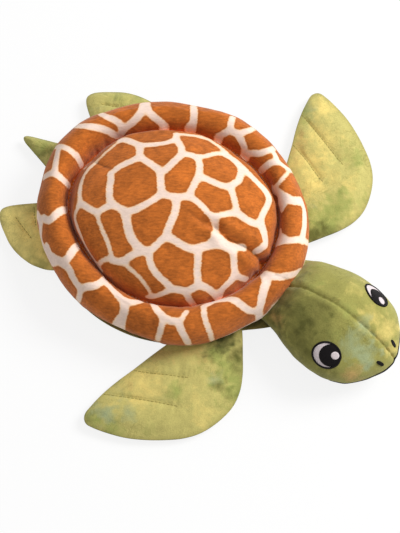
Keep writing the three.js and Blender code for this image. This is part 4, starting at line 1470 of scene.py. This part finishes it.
# %% Dye the head
head_spots = [
    ("deep", 272, 303, 20, 0.7), ("deep", 298, 312, 26, 0.5), ("deep", 298, 338, 22, 0.45),
    ("deep", 324, 318, 14, 0.3), ("fresh", 335, 335, 13, 0.4), ("fresh", 345, 312, 12, 0.3),
    ("teal", 352, 343, 14, 0.7), ("teal", 366, 356, 13, 0.8), ("teal", 362, 330, 9, 0.5),
    ("teal", 366, 318, 7, 0.4), ("yellow", 388, 330, 15, 0.62), ("yellow", 352, 288, 14, 0.3),
    ("yellow", 372, 312, 12, 0.34), ("fresh", 305, 277, 14, 0.5), ("tan", 277, 320, 6, 0.8),
    ("tan", 352, 374, 10, 0.6), ("yellow", 392, 350, 8, 0.5), ("tan", 288, 274, 8, 0.4),
    ("yellow", 340, 335, 6, 0.25), ("deep", 283, 352, 16, 0.3),
]
panel_dye = 0.5
panel_fades = (322, 350)

dye_cloth(head_skin, head_spots)
near_panel = 1 - smooth_step(-1.2, 0.4, recall(head_skin, "from_seam"))
near_panel = near_panel * (1 - smooth_step(*panel_fades, pixels_of(points_of(head_skin))[:, 0]))
deep_dye = np.maximum(recall(head_skin, "dye_deep"), panel_dye * near_panel)
remember(head_skin, "dye_deep", deep_dye)
dress(head_skin, head_cloth)
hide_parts("neck_slice", "crown_left_panel", "crown_right_panel", "chin_panel",
            "head_stuffing")
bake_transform(head_skin)
head_tree = surface_of(head_skin)
print("head_skin has", len(head_spots), "clouds of dye")

# %% [markdown]
# ## The neck's root
# Where the neck leaves the shell, a short sleeve of the same cloth is sewn to the belly. It lies
# just inside the head's skin, so it shows only when the neck turns away from it.

# %% Neck root
sleeve_inset = 2.4
sleeve_alongs = np.linspace(0.0, 0.17, 12)
sleeve_points = []
for along in sleeve_alongs:
    ring = lean(head_surface(np.full(head_around, along), around))
    middle = ring.mean(axis=0)
    outward = (ring - middle) * [1, 0, 1]
    length = np.linalg.norm(outward, axis=1, keepdims=True)
    sleeve_points.append(ring - outward / length * sleeve_inset)
sleeve_points = np.concatenate(sleeve_points)
faces = tube_faces(len(sleeve_alongs), head_around, inside_out=True)
faces += ladder_faces(loop_from(0, head_around))
faces += ladder_faces(loop_from(len(sleeve_points) - head_around, head_around)[::-1])
neck_sleeve = cloth_mesh("neck_sleeve", sleeve_points, faces)
# The dark spot is painted shade, like the one on the web beside it.
dye_cloth(neck_sleeve, [("painted_shade", 262, 322, 30, 0.6)])
dress(neck_sleeve, head_cloth)
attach(neck_sleeve, "shell")
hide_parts("neck_base")
print("neck_sleeve reaches", round(head_length * sleeve_alongs[-1]), "mm past the rim's root")

# %% [markdown]
# ## Embroidered eyes, nostrils and mouth
# The face is satin stitch: rows of shining thread, side by side, standing a little over the
# cloth. Each shape is drawn flat, in the plane that faces out of the eye, and its points are cast
# onto the head along that direction, so that it follows the cheek. The rows show as fine ribs in
# the material, across the direction in which the thread runs.

# %% Thread material
row_width = 0.55


def satin_thread(name, screen, sheen):
    """Rows of thread side by side: the attribute says how far across the rows a point is."""
    material, tree, shader = new_material(name)
    turns = calculate(tree, "MULTIPLY", remembered(tree, "across"), 2 * math.pi / row_width)
    wobble = calculate(tree, "MULTIPLY", noise_in(tree, place_in(tree), 600.0, 2.0), 1.6)
    phase = calculate(tree, "ADD", turns, wobble)
    rows = remap(tree, calculate(tree, "SINE", phase), -1.0, 1.0)
    # Painted shade: the colour dims in the grooves between the rows, besides the bump that raises them.
    toned = scaled(tree, linear(*screen)[:3], remap(tree, rows, 0.0, 1.0, 0.82, 1.06))
    tree.links.new(toned, shader.inputs["Base Color"])
    bump = add_node(tree, "ShaderNodeBump", {"Height": rows, "Strength": 0.5,
                                             "Distance": 0.0003})
    tree.links.new(bump.outputs["Normal"], shader.inputs["Normal"])
    shader.inputs["Roughness"].default_value = 0.6
    shader.inputs["Specular IOR Level"].default_value = 0.12
    shader.inputs["Sheen Weight"].default_value = sheen
    return material


threads = {
    "black_thread": satin_thread("black_satin_thread", (14, 10, 11), 0.0),
    "white_thread": satin_thread("white_satin_thread", (222, 210, 212), 0.05),
    "cream_thread": satin_thread("cream_thread", (226, 202, 176), 0.05),
    "green_thread": satin_thread("green_thread", (160, 146, 80), 0.05),
}
print("threads", ", ".join(threads))

# %% [markdown]
# A seat is the flat plane in which a shape is drawn. It stands on the cheek that leans with the
# head, and casts each place of the drawing back onto the cloth.

# %% Embroidery on the head


class Seat:
    """A plane that touches the head: a place, the direction out of it, forwards and up."""

    def __init__(self, place, facing, side):
        self.place = lean(place)
        self.facing = lean(place + facing) - self.place
        self.facing = self.facing / np.linalg.norm(self.facing)
        forward = np.array([0.0, -1.0, 0.0])
        forward -= self.facing * (forward @ self.facing)
        self.forward = forward / np.linalg.norm(forward)
        self.upward = np.cross(self.facing, self.forward) * side * -1

    def on_head(self, loop, lift):
        """Points over the head's skin for places in this plane."""
        lifted = []
        for forward, upward in loop:
            above = self.place + self.forward * forward + self.upward * upward + self.facing * 30
            hit, normal, _, _ = head_tree.ray_cast(Vector(above), Vector(-self.facing))
            if hit is None:
                hit, normal, _, _ = head_tree.find_nearest(Vector(above))
            lifted.append(np.array(hit) + np.array(normal) * lift)
        return np.array(lifted)


def embroider(seat, loops, lifts, rows):
    """Raised loops of places in a seat's plane: faces, points and how far across the rows."""
    points = [seat.on_head(loop, lift) for loop, lift in zip(loops, lifts)]
    faces = tube_faces(len(loops), len(loops[0]))
    return faces, np.concatenate(points), np.concatenate([rows(loop) for loop in loops])


def finish_thread(name, faces, points, across, thread, body, node):
    """A piece of thread, dressed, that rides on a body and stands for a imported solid."""
    piece = cloth_mesh(name, np.array(points), faces)
    remember(piece, "across", np.array(across))
    dress(piece, threads[thread])
    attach(piece, body)
    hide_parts(node)


def forward_rows(loop):
    """Rows that run up and down, one in front of the other."""
    return loop[:, 0]


def filled_shape(node, seat, outline, lift, thread):
    """A closed shape with a rounded edge, sunk a little into the cloth."""
    middle = outline.mean(axis=0)
    shares = [0.6, 1.0, 1.0, 0.93, 0.8, 0.6, 0.4, 0.2, 0.05]
    lifts = [-0.5, -0.4, 0.5 * lift, 0.9 * lift, lift, lift, lift, lift, lift]
    loops = [middle + (outline - middle) * share for share in shares]
    faces, points, across = embroider(seat, loops, lifts, forward_rows)
    count = len(outline)
    faces.append(loop_from(0, count)[::-1])
    faces.append(loop_from(len(points) - count, count))
    finish_thread(node + "_stitches", faces, points, across, thread, "head", node)


def oval(half_width, half_height, forward=0.0, upward=0.0, count=72):
    """Places round an oval in a seat's plane."""
    turn = np.arange(count) / count * 2 * math.pi
    return np.stack([forward + half_width * np.cos(turn),
                     upward + half_height * np.sin(turn)], axis=1)


def ring_shape(node, seat, half_width, half_height, width, lift, thread):
    """A closed rope of thread round an oval."""
    loops, lifts = [], []
    for share, height in ((0, -0.4), (0, 0.5), (0.2, 0.9), (0.5, 1), (0.8, 0.9), (1, 0.5),
                          (1, -0.4)):
        loops.append(oval(half_width - width * share, half_height - width * share))
        lifts.append(height * lift if height > 0 else height)

    def rows(loop):
        return np.arctan2(loop[:, 1], loop[:, 0]) * half_width

    faces, points, across = embroider(seat, loops, lifts, rows)
    count = len(loops[0])
    faces += band_faces(loop_from(len(points) - count, count), loop_from(0, count))
    finish_thread(node + "_stitches", faces, points, across, thread, "head", node)


# %% [markdown]
# The pupil nearly fills the eye and touches its outline in front and above, so that the white
# is a crescent behind and below it, and the highlight sits towards the nose.

# %% Eyes
eye_half_width = 11.3
eye_half_height = 10.4
eye_ring_width = 1.5
pupil_radius = 8.5
pupil_forward, pupil_up = 2.7, 1.3
highlight_radius = 3.1
highlight_forward, highlight_up = 5.6, 3.0
white_lift, pupil_lift, ring_lift, highlight_lift = 0.4, 0.75, 0.95, 1.05
sides = {"left": 1, "right": -1}


def clipped(outline, half_width, half_height):
    """An outline kept inside an oval round the seat's middle."""
    reach = np.hypot(outline[:, 0] / half_width, outline[:, 1] / half_height)
    return outline / np.maximum(reach, 1)[:, None]


inner_width = eye_half_width - 0.6 * eye_ring_width
inner_height = eye_half_height - 0.6 * eye_ring_width
for name, side in sides.items():
    seat = Seat(*plain_facing(side), side)
    white = oval(inner_width, inner_height)
    filled_shape(name + "_eye_white", seat, white, white_lift, "white_thread")
    pupil = clipped(oval(pupil_radius, pupil_radius, pupil_forward, pupil_up),
                    inner_width, inner_height)
    filled_shape(name + "_eye_pupil", seat, pupil, pupil_lift, "black_thread")
    glint = oval(highlight_radius, highlight_radius * 0.95, highlight_forward, highlight_up, 40)
    filled_shape(name + "_eye_highlight", seat, glint, highlight_lift, "white_thread")
    ring_shape(name + "_eye_outline", seat, eye_half_width, eye_half_height, eye_ring_width,
               ring_lift, "black_thread")
    print(name, "eye faces", np.round(seat.facing, 2).tolist())

# %% [markdown]
# The nostrils are short bars of the same black thread, and the mouth is one long bar that runs
# round the front of the jaw, a little wider in the middle of its length.

# %% Nostrils and mouth
nostril_half_length = 3.9
nostril_half_width = 1.4
nostril_setback = 7.0
nostril_height = 30.0
mouth_length = 33.0
mouth_half_width = 1.1
mouth_lift = 0.7
nostril_lift = 0.8
mouth_front_height = 20.5
mouth_end_height = 17.5


def nostril_seat(side):
    """Beside the tip of the nose, facing forwards, up and a little outwards."""
    ring = upper_section(1 - nostril_setback / head_length)
    place = ring[np.abs(ring[:, 2] - nostril_height).argmin()]
    facing = np.array([place[0], -place[2], place[2]]) / nostril_height
    return Seat(place * [side, 1, 1], facing * [side, 1, 1], side)


turn = np.arange(36) / 36 * 2 * math.pi
nostril = np.stack([
    nostril_half_length * np.sign(np.cos(turn)) * np.abs(np.cos(turn)) ** 0.8,
    nostril_half_width * np.sin(turn),
], axis=1)
for name, side in sides.items():
    filled_shape(name + "_nostril", nostril_seat(side), nostril, nostril_lift, "black_thread")


def mouth_path(steps):
    """The front of the head's section at the jaw's height, from one cheek round to the other."""
    turns = np.linspace(-math.pi * 0.5, math.pi * 0.5, steps)
    middle = head_root - head_length + mouth_length
    path = []
    for turn in turns:
        height = mouth_end_height + (mouth_front_height - mouth_end_height) * math.cos(turn)
        start = lean(np.array([2 * head_half_width * math.sin(turn),
                               middle - 2 * head_half_width * math.cos(turn), height]))
        aim_at = lean(np.array([0.0, middle, height]))
        direction = Vector(aim_at - start).normalized()
        hit, normal, _, _ = head_tree.ray_cast(Vector(start), direction)
        path.append((np.array(hit), np.array(normal)))
    return path


def mouth_stitches():
    """A bar of thread along the mouth, thinner at its ends: faces, points and rows."""
    path = mouth_path(120)
    section = 12
    points, across = [], []
    length = 0.0
    for k, (place, normal) in enumerate(path):
        before = path[max(k - 1, 0)][0]
        beyond = path[min(k + 1, len(path) - 1)][0]
        length += np.linalg.norm(place - before)
        along = (beyond - before) / np.linalg.norm(beyond - before)
        sideways = np.cross(normal, along)
        taper = math.sqrt(max(1 - (2 * k / (len(path) - 1) - 1) ** 12, 0.03))
        for i in range(section):
            turn = i / section * 2 * math.pi
            points.append(place + sideways * mouth_half_width * taper * math.cos(turn)
                          + normal * mouth_lift * taper * math.sin(turn))
            across.append(length)
    faces = tube_faces(len(path), section)
    faces.append(loop_from(0, section)[::-1])
    faces.append(loop_from(len(points) - section, section))
    return faces, points, across


faces, points, across = mouth_stitches()
finish_thread("mouth_stitches", faces, points, across, "black_thread", "head", "mouth_stitch")
print("the mouth is", round(across[-1]), "mm of stitching")

# %% [markdown]
# ## Flippers and tail
# A flipper is two panels sewn together round the edge, turned and stuffed a little, with two
# lines of quilting that hold the upper and the lower cloth together. Its outline is a smooth
# curve through shares of its reach and its sweep, in the plane of its own root. From the middle
# of the flipper to that outline runs a set of rings that are thick in the middle and thin at the
# seam.

# %% Limb outlines
seam_allowance_radius = 1.7
limb_droop = math.radians(3)
limb_cap, limb_voxel = 1.2, 4.0
seam_edge = [(0, 1.05), (0.8, 0.85), (1.15, 0.35)]
seam_line_reach = 0.75
edge_half_thickness = 0.9
front_limb = {
    "angle": math.radians(-47.6),
    "reach": 66.0,
    "sweep": 103.0,
    "half_thickness": 6.0,
    "centre": (0.5, 0.3),
    "edge": [
        (-0.11, -0.268), (0, -0.256), (0.2, -0.228), (0.42, -0.195), (0.6, -0.15),
        (0.76, -0.075), (0.89, 0.045),
        (0.98, 0.19), (1, 0.32), (0.975, 0.455), (0.925, 0.6), (0.855, 0.735), (0.76, 0.855),
        (0.66, 0.955), (0.6, 0.995), (0.52, 0.99), (0.435, 0.93), (0.325, 0.83), (0.22, 0.71),
        (0.125, 0.58), (0, 0.42), (-0.11, 0.27),
    ],
    "quilting": {
        "inner": [(0.12, 0.58), (0.2, 0.46), (0.28, 0.32), (0.36, 0.19)],
        "outer": [(0.32, 0.835), (0.43, 0.66), (0.55, 0.47), (0.66, 0.31)],
    },
}
rear_limb = {
    "angle": math.radians(50.7),
    "reach": 33.0,
    "sweep": 33.0,
    "half_thickness": 5.2,
    "centre": (0.46, 0.08),
    "shift": {1: (-1.0, 3.4)},
    "edge": [
        (-0.2, -0.9), (0, -0.85), (0.18, -0.76), (0.34, -0.66), (0.61, -0.38), (0.79, -0.09),
        (0.89, 0.2), (0.97, 0.5), (0.985, 0.68), (0.93, 0.82), (0.8, 0.87), (0.6, 0.88),
        (0.36, 0.87), (0, 0.84), (-0.2, 0.8),
    ],
    "quilting": {
        "inner": [(0.15, 0.78), (0.15, 0.5), (0.14, 0.2)],
        "outer": [(0.62, 0.57), (0.45, 0.25), (0.24, -0.13)],
    },
}
tail_limb = {
    "angle": math.radians(90),
    "reach": 41.0,
    "sweep": 13.0,
    "half_thickness": 5.6,
    "centre": (0.36, 0),
    "edge": [
        (-0.14, -1.05), (0, -1), (0.2, -0.88), (0.42, -0.68), (0.7, -0.42), (0.92, -0.2),
        (1, -0.05), (0.95, 0.1), (0.7, 0.38), (0.42, 0.66), (0.2, 0.88), (0, 1), (-0.14, 1.05),
    ],
    "quilting": {},
}


def from_shares(limb, shares):
    """Places in a limb's plane, in millimetres, from shares of its reach and its sweep."""
    return np.array(shares) * [limb["reach"], limb["sweep"]]


def limb_outline(limb, spacing):
    """The closed outline in the plane of the seam: the free edge, then the root."""
    edge = smooth_line(from_shares(limb, limb["edge"]), spacing)
    root_count = max(int(round(np.linalg.norm(edge[0] - edge[-1]) / spacing)), 2)
    root_count += (len(edge) + root_count - 1) % 2
    shares = np.linspace(0, 1, root_count + 1)[1:-1, None]
    return np.concatenate([edge, edge[-1] + (edge[0] - edge[-1]) * shares])


def limb_place(limb, side):
    """How a limb's own plane lies: its root, the way out, the way along the root and up."""
    turn = limb["angle"]
    root = np.array([seam_radius * math.cos(turn), seam_radius * stretch * math.sin(turn)])
    outward = math.atan2(math.sin(turn) / stretch, math.cos(turn))
    slope = math.pi / 2 - under_rim()[1]
    clear = (seam_allowance_radius + 0.3) / math.sin(slope)
    root += clear * np.array([math.cos(outward), math.sin(outward)])
    out = np.array([math.cos(outward) * math.cos(limb_droop),
                    math.sin(outward) * math.cos(limb_droop), -math.sin(limb_droop)])
    along = np.array([-math.sin(outward), math.cos(outward), 0])
    above = np.cross(out, along)
    mirror = np.array([side, 1, 1])
    place = np.array([root[0], root[1], seam_height])
    shift = limb.get("shift", {}).get(side, (0.0, 0.0))
    place = place + out * shift[0] + along * shift[1]
    return place * mirror, out * mirror, along * mirror, above * mirror


print("a front flipper's root is at", limb_place(front_limb, 1)[0].round(1).tolist())

# %% [markdown]
# The quilting pulls the cloth down in a narrow groove inside a broader hollow, and every stitch
# leaves a short fold across the line. The seam round the edge gathers the cloth a little, too.
# All of this is worked out in the flipper's flat plane, where the cloth was sewn.

# %% Limb skins


def limb_rise(share, half_thickness):
    """Half the thickness at a share of the way from the middle to the seam."""
    swell = (1 - np.minimum(share, 1) ** 2.6) ** 0.72
    return edge_half_thickness + (half_thickness - edge_half_thickness) * swell


def limb_relief(flat, share, limb, seed):
    """How much the cloth stands over or under its plain height."""
    away_from_edge = (1 - share) * min(limb["reach"], limb["sweep"]) * 0.6
    place = np.concatenate([flat, np.full((len(flat), 1), seed)], axis=1)
    relief = 0.4 * wander(place, 17) + 0.25 * wander(place, 7, 3.0)
    centre = from_shares(limb, limb["centre"])
    round_edge = np.arctan2(*(flat - centre).T)
    edge_place = np.stack([np.cos(round_edge), np.sin(round_edge), round_edge * 0], axis=1)
    gathers = wander(edge_place * 50, 5.0, seed + 2)
    relief -= 0.5 * np.maximum(gathers, -0.2) * bell(away_from_edge - 3, 4.5)
    for line in limb["quilting"].values():
        corners = smooth_line(from_shares(limb, line), 3.0)
        away, along = distance_to_line(flat, corners)
        inside = smooth_step(0, 0.1, along) * (1 - smooth_step(0.85, 1, along))
        inside = np.maximum(inside, 0.35)
        relief -= inside * hollow(away, (1.3, 1.3), (1.2, 6.5))
        folds = wander(np.stack([along * 60, away * 0.15, along * 0], axis=1), 5.0, seed)
        relief -= 0.8 * np.maximum(folds, 0) * bell(away - 4, 6)
    return relief


def limb_rings(limb, outline, spacing, seed):
    """Rings of places and heights from the middle of the upper side over the seam to the lower."""
    centre = from_shares(limb, limb["centre"])
    count = len(outline)
    reach = np.linalg.norm(outline - centre, axis=1).mean()
    inner_shares = np.linspace(0, 1, max(int(reach / spacing), 6) + 1)[1:-1]
    before, beyond = np.roll(outline, 1, axis=0), np.roll(outline, -1, axis=0)
    tangent = (beyond - before) / np.linalg.norm(beyond - before, axis=1, keepdims=True)
    outward = np.stack([tangent[:, 1], -tangent[:, 0]], axis=1)
    sides_of_limb = []
    for upper in (1, -1):
        rings = []
        for share in inner_shares:
            flat = centre + (outline - centre) * share
            relief = limb_relief(flat, np.full(count, share), limb, seed * upper)
            height = limb_rise(share, limb["half_thickness"]) + relief * (1 - share ** 8)
            rings.append((flat, upper * np.maximum(height, 0.5)))
        for past, height in seam_edge:
            rings.append((outline + outward * past, np.full(count, upper * height)))
        sides_of_limb.append(rings)
    seam = (outline + outward * seam_line_reach, np.zeros(count))
    return [*sides_of_limb[0], seam, *sides_of_limb[1][::-1]]


def limb_skin(name, limb, side, seed, spots, spacing):
    """A stuffed limb with its dyes, which rides on the body of its own name."""
    rings = limb_rings(limb, limb_outline(limb, spacing), spacing, seed)
    flat = np.concatenate([ring for ring, _ in rings])
    height = np.concatenate([height for _, height in rings])
    count = len(rings[0][0])
    faces = tube_faces(len(rings), count)
    faces += ladder_faces(loop_from(0, count)[::-1])
    faces += ladder_faces(loop_from(len(flat) - count, count))
    if side > 0:
        faces = [face[::-1] for face in faces]
    place, out, along, above = limb_place(limb, side)
    points = (place + flat[:, :1] * out + flat[:, 1:2] * along + height[:, None] * above)
    piece = cloth_mesh(name + "_skin", points, faces)
    to_seam = np.abs((points_of(piece) - place) @ above)
    settle(piece, limb_cap, limb_voxel, smooth_step(0.6, 3.0, to_seam))
    subdivide(piece)
    dye_cloth(piece, spots)
    # Painted shade along the seam: the colour is darker within a millimetre or two of it.
    to_seam = np.clip(np.abs((points_of(piece) - place) @ above), 0, 9)
    remember(piece, "painted_seam_shade", bell(to_seam, 1.15))
    dress(piece, green_cloth)
    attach(piece, name)
    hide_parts(name + "_upper_panel", name + "_lower_panel", name + "_stuffing")
    return piece


print("rings of a limb end", seam_edge[-1][0], "mm past its outline")

# %% [markdown]
# The limbs differ in their dyes: the near front flipper is yellow in its middle and deep green at
# the shell, with painted shade darkest at its root under the rim, the far one yellow with green
# edges, and the near rear one the palest of all, partly by painted light over the shell's shade.
# Each is made with its own seed for the noise and its own spacing of points.

# %% Limbs with their dyes
# The dark spots at the near flipper's root are painted shade from the rim.
near_spots = [
    ("yellow", 142, 378, 20, 0.6), ("yellow", 122, 392, 15, 0.4), ("yellow", 145, 398, 12, 0.5),
    ("yellow", 196, 398, 12, 0.45), ("yellow", 205, 416, 13, 0.5), ("tan", 160, 353, 12, 0.5),
    ("tan", 196, 352, 14, 0.4), ("tan", 132, 386, 8, 0.3), ("fresh", 178, 391, 9, 0.75),
    ("fresh", 230, 372, 17, 0.8), ("fresh", 234, 395, 13, 0.8), ("fresh", 218, 354, 16, 0.7),
    ("fresh", 112, 428, 14, 0.6), ("fresh", 150, 432, 12, 0.35), ("fresh", 90, 417, 11, 0.8),
    ("teal", 104, 412, 10, 0.95), ("teal", 128, 414, 10, 0.6), ("teal", 213, 379, 9, 0.5),
    ("deep", 233, 368, 12, 0.4), ("deep", 88, 418, 7, 0.35), ("deep", 205, 358, 12, 0.25),
    ("deep", 222, 345, 18, 0.5), ("painted_shade", 222, 337, 12, 0.9), ("painted_shade", 210, 335, 9, 0.7),
    ("deep", 217, 385, 7, 0.6), ("deep", 238, 354, 9, 0.6), ("deep", 229, 397, 8, 0.5),
]
far_spots = [
    ("yellow", 324, 108, 11, 0.75), ("yellow", 306, 158, 18, 0.6), ("yellow", 328, 142, 16, 0.5),
    ("yellow", 310, 184, 16, 0.65), ("yellow", 334, 178, 14, 0.4), ("tan", 300, 148, 12, 0.4),
    ("deep", 313, 236, 12, 0.75), ("deep", 331, 231, 9, 0.6), ("fresh", 352, 140, 9, 0.35),
    ("teal", 309, 107, 8, 0.45), ("yellow", 312, 134, 10, 0.3), ("teal", 343, 120, 8, 0.2),
    ("fresh", 356, 158, 10, 0.25), ("teal", 314, 207, 8, 0.25), ("fresh", 339, 204, 10, 0.45),
    ("fresh", 325, 224, 20, 0.9), ("fresh", 342, 206, 13, 0.6), ("fresh", 358, 160, 11, 0.5),
    ("yellow", 352, 213, 7, 0.5), ("fresh", 304, 112, 11, 0.8), ("fresh", 362, 200, 8, 0.4),
    ("yellow", 352, 186, 10, 0.5),
]
# The straw spot is partly painted light, lifting the shade that the shell casts on this flipper.
rear_near_spots = [
    ("straw_and_painted_light", 22, 232, 38, 0.85), ("tan", 24, 216, 9, 0.3), ("fresh", 10, 212, 6, 0.2),
]
rear_far_spots = [
    ("fresh", 118, 98, 20, 0.5), ("teal", 100, 104, 12, 0.3), ("fresh", 140, 102, 12, 0.4),
]
tail_spots = [("fresh", 35, 145, 16, 0.7), ("deep", 48, 152, 9, 0.5), ("fresh", 46, 146, 9, 0.5)]

limb_rows = [
    ("right_front_flipper", front_limb, -1, 1.0, near_spots, 2.0),
    ("left_front_flipper", front_limb, 1, 2.0, far_spots, 2.0),
    ("right_rear_flipper", rear_limb, -1, 3.0, rear_near_spots, 1.5),
    ("left_rear_flipper", rear_limb, 1, 4.0, rear_far_spots, 1.5),
    ("tail", tail_limb, 1, 5.0, tail_spots, 1.3),
]
limbs = {}
for name, limb, side, seed, spots, spacing in limb_rows:
    limbs[name] = limb_skin(name, limb, side, seed, spots, spacing)
    print(name, len(limbs[name].data.vertices), "points")

# %% [markdown]
# ## Stitches
# The quilting and the crease are sewn with running stitch: the thread shows for a few
# millimetres, dives into the cloth and comes up again. Each line is one piece of many short
# bars whose ends bend down into the cloth.

# %% Running stitch
stitch_length = 2.7
stitch_gap = 0.35
thread_radius = 0.26
strand_slant = 0.4
quilting_dip, channel_dip = 0.35, 1.1


def running_stitch(name, path, normals, thread, body, node, dip):
    """Short bars of thread along a path of points in millimetres, whose ends dip into the cloth."""
    run = run_along(path)
    section, rings = 8, 7
    points, faces, across = [], [], []
    for start in np.arange(stitch_gap, run[-1] - stitch_length, stitch_length + stitch_gap):
        first = len(points)
        for ring in range(rings):
            share = ring / (rings - 1)
            at = start + stitch_length * share
            place = np.array([np.interp(at, run, path[:, k]) for k in range(3)])
            ahead = np.array([np.interp(at + 0.3, run, path[:, k]) for k in range(3)])
            above = np.array([np.interp(at, run, normals[:, k]) for k in range(3)])
            direction = (ahead - place) / (np.linalg.norm(ahead - place) + 1e-9)
            sideways = np.cross(above, direction)
            dive = dip * abs(2 * share - 1) ** 3
            for i in range(section):
                turn = i / section * 2 * math.pi
                offset = sideways * math.cos(turn) + above * math.sin(turn)
                points.append(place + above * (0.1 - dive) + offset * thread_radius)
                across.append(at * strand_slant)
        faces += tube_faces(rings, section, first)
        faces.append(loop_from(first, section)[::-1])
        faces.append(loop_from(len(points) - section, section))
    finish_thread(name, faces, points, across, thread, body, node)


def quilting_thread(name, limb, side, line, corners):
    """One quilting line of a flipper, cast onto the upper side of its skin."""
    place, out, along, above = limb_place(limb, side)
    skin = surface_of(limbs[name])
    flat = smooth_line(from_shares(limb, corners), 1.0)
    starts = [place + out * u + along * v + above * 30 for u, v in flat]
    path = np.array([skin.ray_cast(Vector(start), Vector(-above))[0] for start in starts])
    running_stitch(f"{name}_{line}_thread", path, np.tile(above, (len(path), 1)),
                   "green_thread", name, f"{name}_{line}_stitch", quilting_dip)


for word, side in sides.items():
    for end, limb in (("front", front_limb), ("rear", rear_limb)):
        for line, corners in limb["quilting"].items():
            quilting_thread(f"{word}_{end}_flipper", limb, side, line, corners)

channel_turn = np.linspace(0, 2 * math.pi, 500)
channel_path = shell_surface(channel_turn, np.ones(500)) + [0, 0, 0.2]
running_stitch("channel_thread", channel_path, np.tile([0.0, 0.0, 1.0], (500, 1)),
               "cream_thread", "shell", "channel_stitch", channel_dip)
print("the crease is sewn with", round(run_along(channel_path)[-1]), "mm of thread")

# %% [markdown]
# ## Floor and light
# The turtle lies on a white sheet under soft studio light. The light comes mostly from the
# right and above in the photograph; the rest of the room fills the shadows evenly. The white
# around the turtle is the floor's own colour, helped by a camera-only glow, so that it doesn't
# take more light on the toy.

# %% Floor
floor_half = 2.5
floor_glow = 0.84


def seen_directly(tree):
    """1 for what the camera sees, in mirrors and through glass too, and 0 for what lights up."""
    path = add_node(tree, "ShaderNodeLightPath").outputs
    mirrored = calculate(tree, "MAXIMUM", path["Is Glossy Ray"], path["Is Transmission Ray"])
    return calculate(tree, "MAXIMUM", path["Is Camera Ray"], mirrored)


floor_mesh = bpy.data.meshes.new("floor")
floor_corners = [(-floor_half, -floor_half, 0), (floor_half, -floor_half, 0),
                 (floor_half, floor_half, 0), (-floor_half, floor_half, 0)]
floor_mesh.from_pydata(floor_corners, [], [(0, 1, 2, 3)])
floor = bpy.data.objects.new("floor", floor_mesh)
scene.collection.objects.link(floor)
floor_material, tree, shader = new_material("white_sheet")
shader.inputs["Base Color"].default_value = (0.86, 0.86, 0.86, 1)
shader.inputs["Roughness"].default_value = 0.9
glow = add_node(tree, "ShaderNodeEmission", {"Color": (1, 1, 1, 1), "Strength": 1.0})
mix = add_node(tree, "ShaderNodeMixShader", {
    0: calculate(tree, "MULTIPLY", seen_directly(tree), floor_glow),
    1: shader.outputs["BSDF"], 2: glow.outputs["Emission"],
})
tree.links.new(mix.outputs["Shader"], tree.nodes["Material Output"].inputs["Surface"])
floor_mesh.materials.append(floor_material)
floor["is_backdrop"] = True
print("the floor is", 2 * floor_half, "m wide")

# %% [markdown]
# The room is an even dim light from all sides, and white where the camera looks past the sheet.
# The window is one large lamp: its size makes the shadows soft, and its direction is told by the
# photograph's right, up and towards the camera.

# %% Light
world = bpy.data.worlds.new("room")
world.use_nodes = True
scene.world = world
tree = world.node_tree
tree.nodes.clear()
ambient = add_node(tree, "ShaderNodeBackground", {"Color": (1, 0.99, 0.98, 1), "Strength": 0.5})
white = add_node(tree, "ShaderNodeBackground", {"Color": (1, 1, 1, 1), "Strength": 1.0})
mix = add_node(tree, "ShaderNodeMixShader", {
    0: seen_directly(tree), 1: ambient.outputs[0], 2: white.outputs[0],
})
output = add_node(tree, "ShaderNodeOutputWorld")
tree.links.new(mix.outputs[0], output.inputs["Surface"])

window_direction = Vector(right * 0.8 + up * 0.62 + back * 0.62).normalized()
window_distance = 1.8
window_data = bpy.data.lights.new("window", "AREA")
window_data.size = 0.8
window_data.energy = 34
window = bpy.data.objects.new("window", window_data)
window.location = Vector(aim * millimetre) + window_direction * window_distance
window.rotation_mode = "QUATERNION"
window.rotation_quaternion = window_direction.to_track_quat("Z", "Y")
scene.collection.objects.link(window)
scene.view_settings.view_transform = "Standard"
print("the window lamp is", window_distance, "m away")

# %% [markdown]
# ## Sizes and the end
# The box of the imported turtle and the box of the dressed one are printed.

# %% Finish
visual_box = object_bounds()
for label, box in (("cad", cad_box), ("visual", visual_box)):
    print(label, [round((high - low) * 1000, 1) for low, high in zip(*box)], "mm")
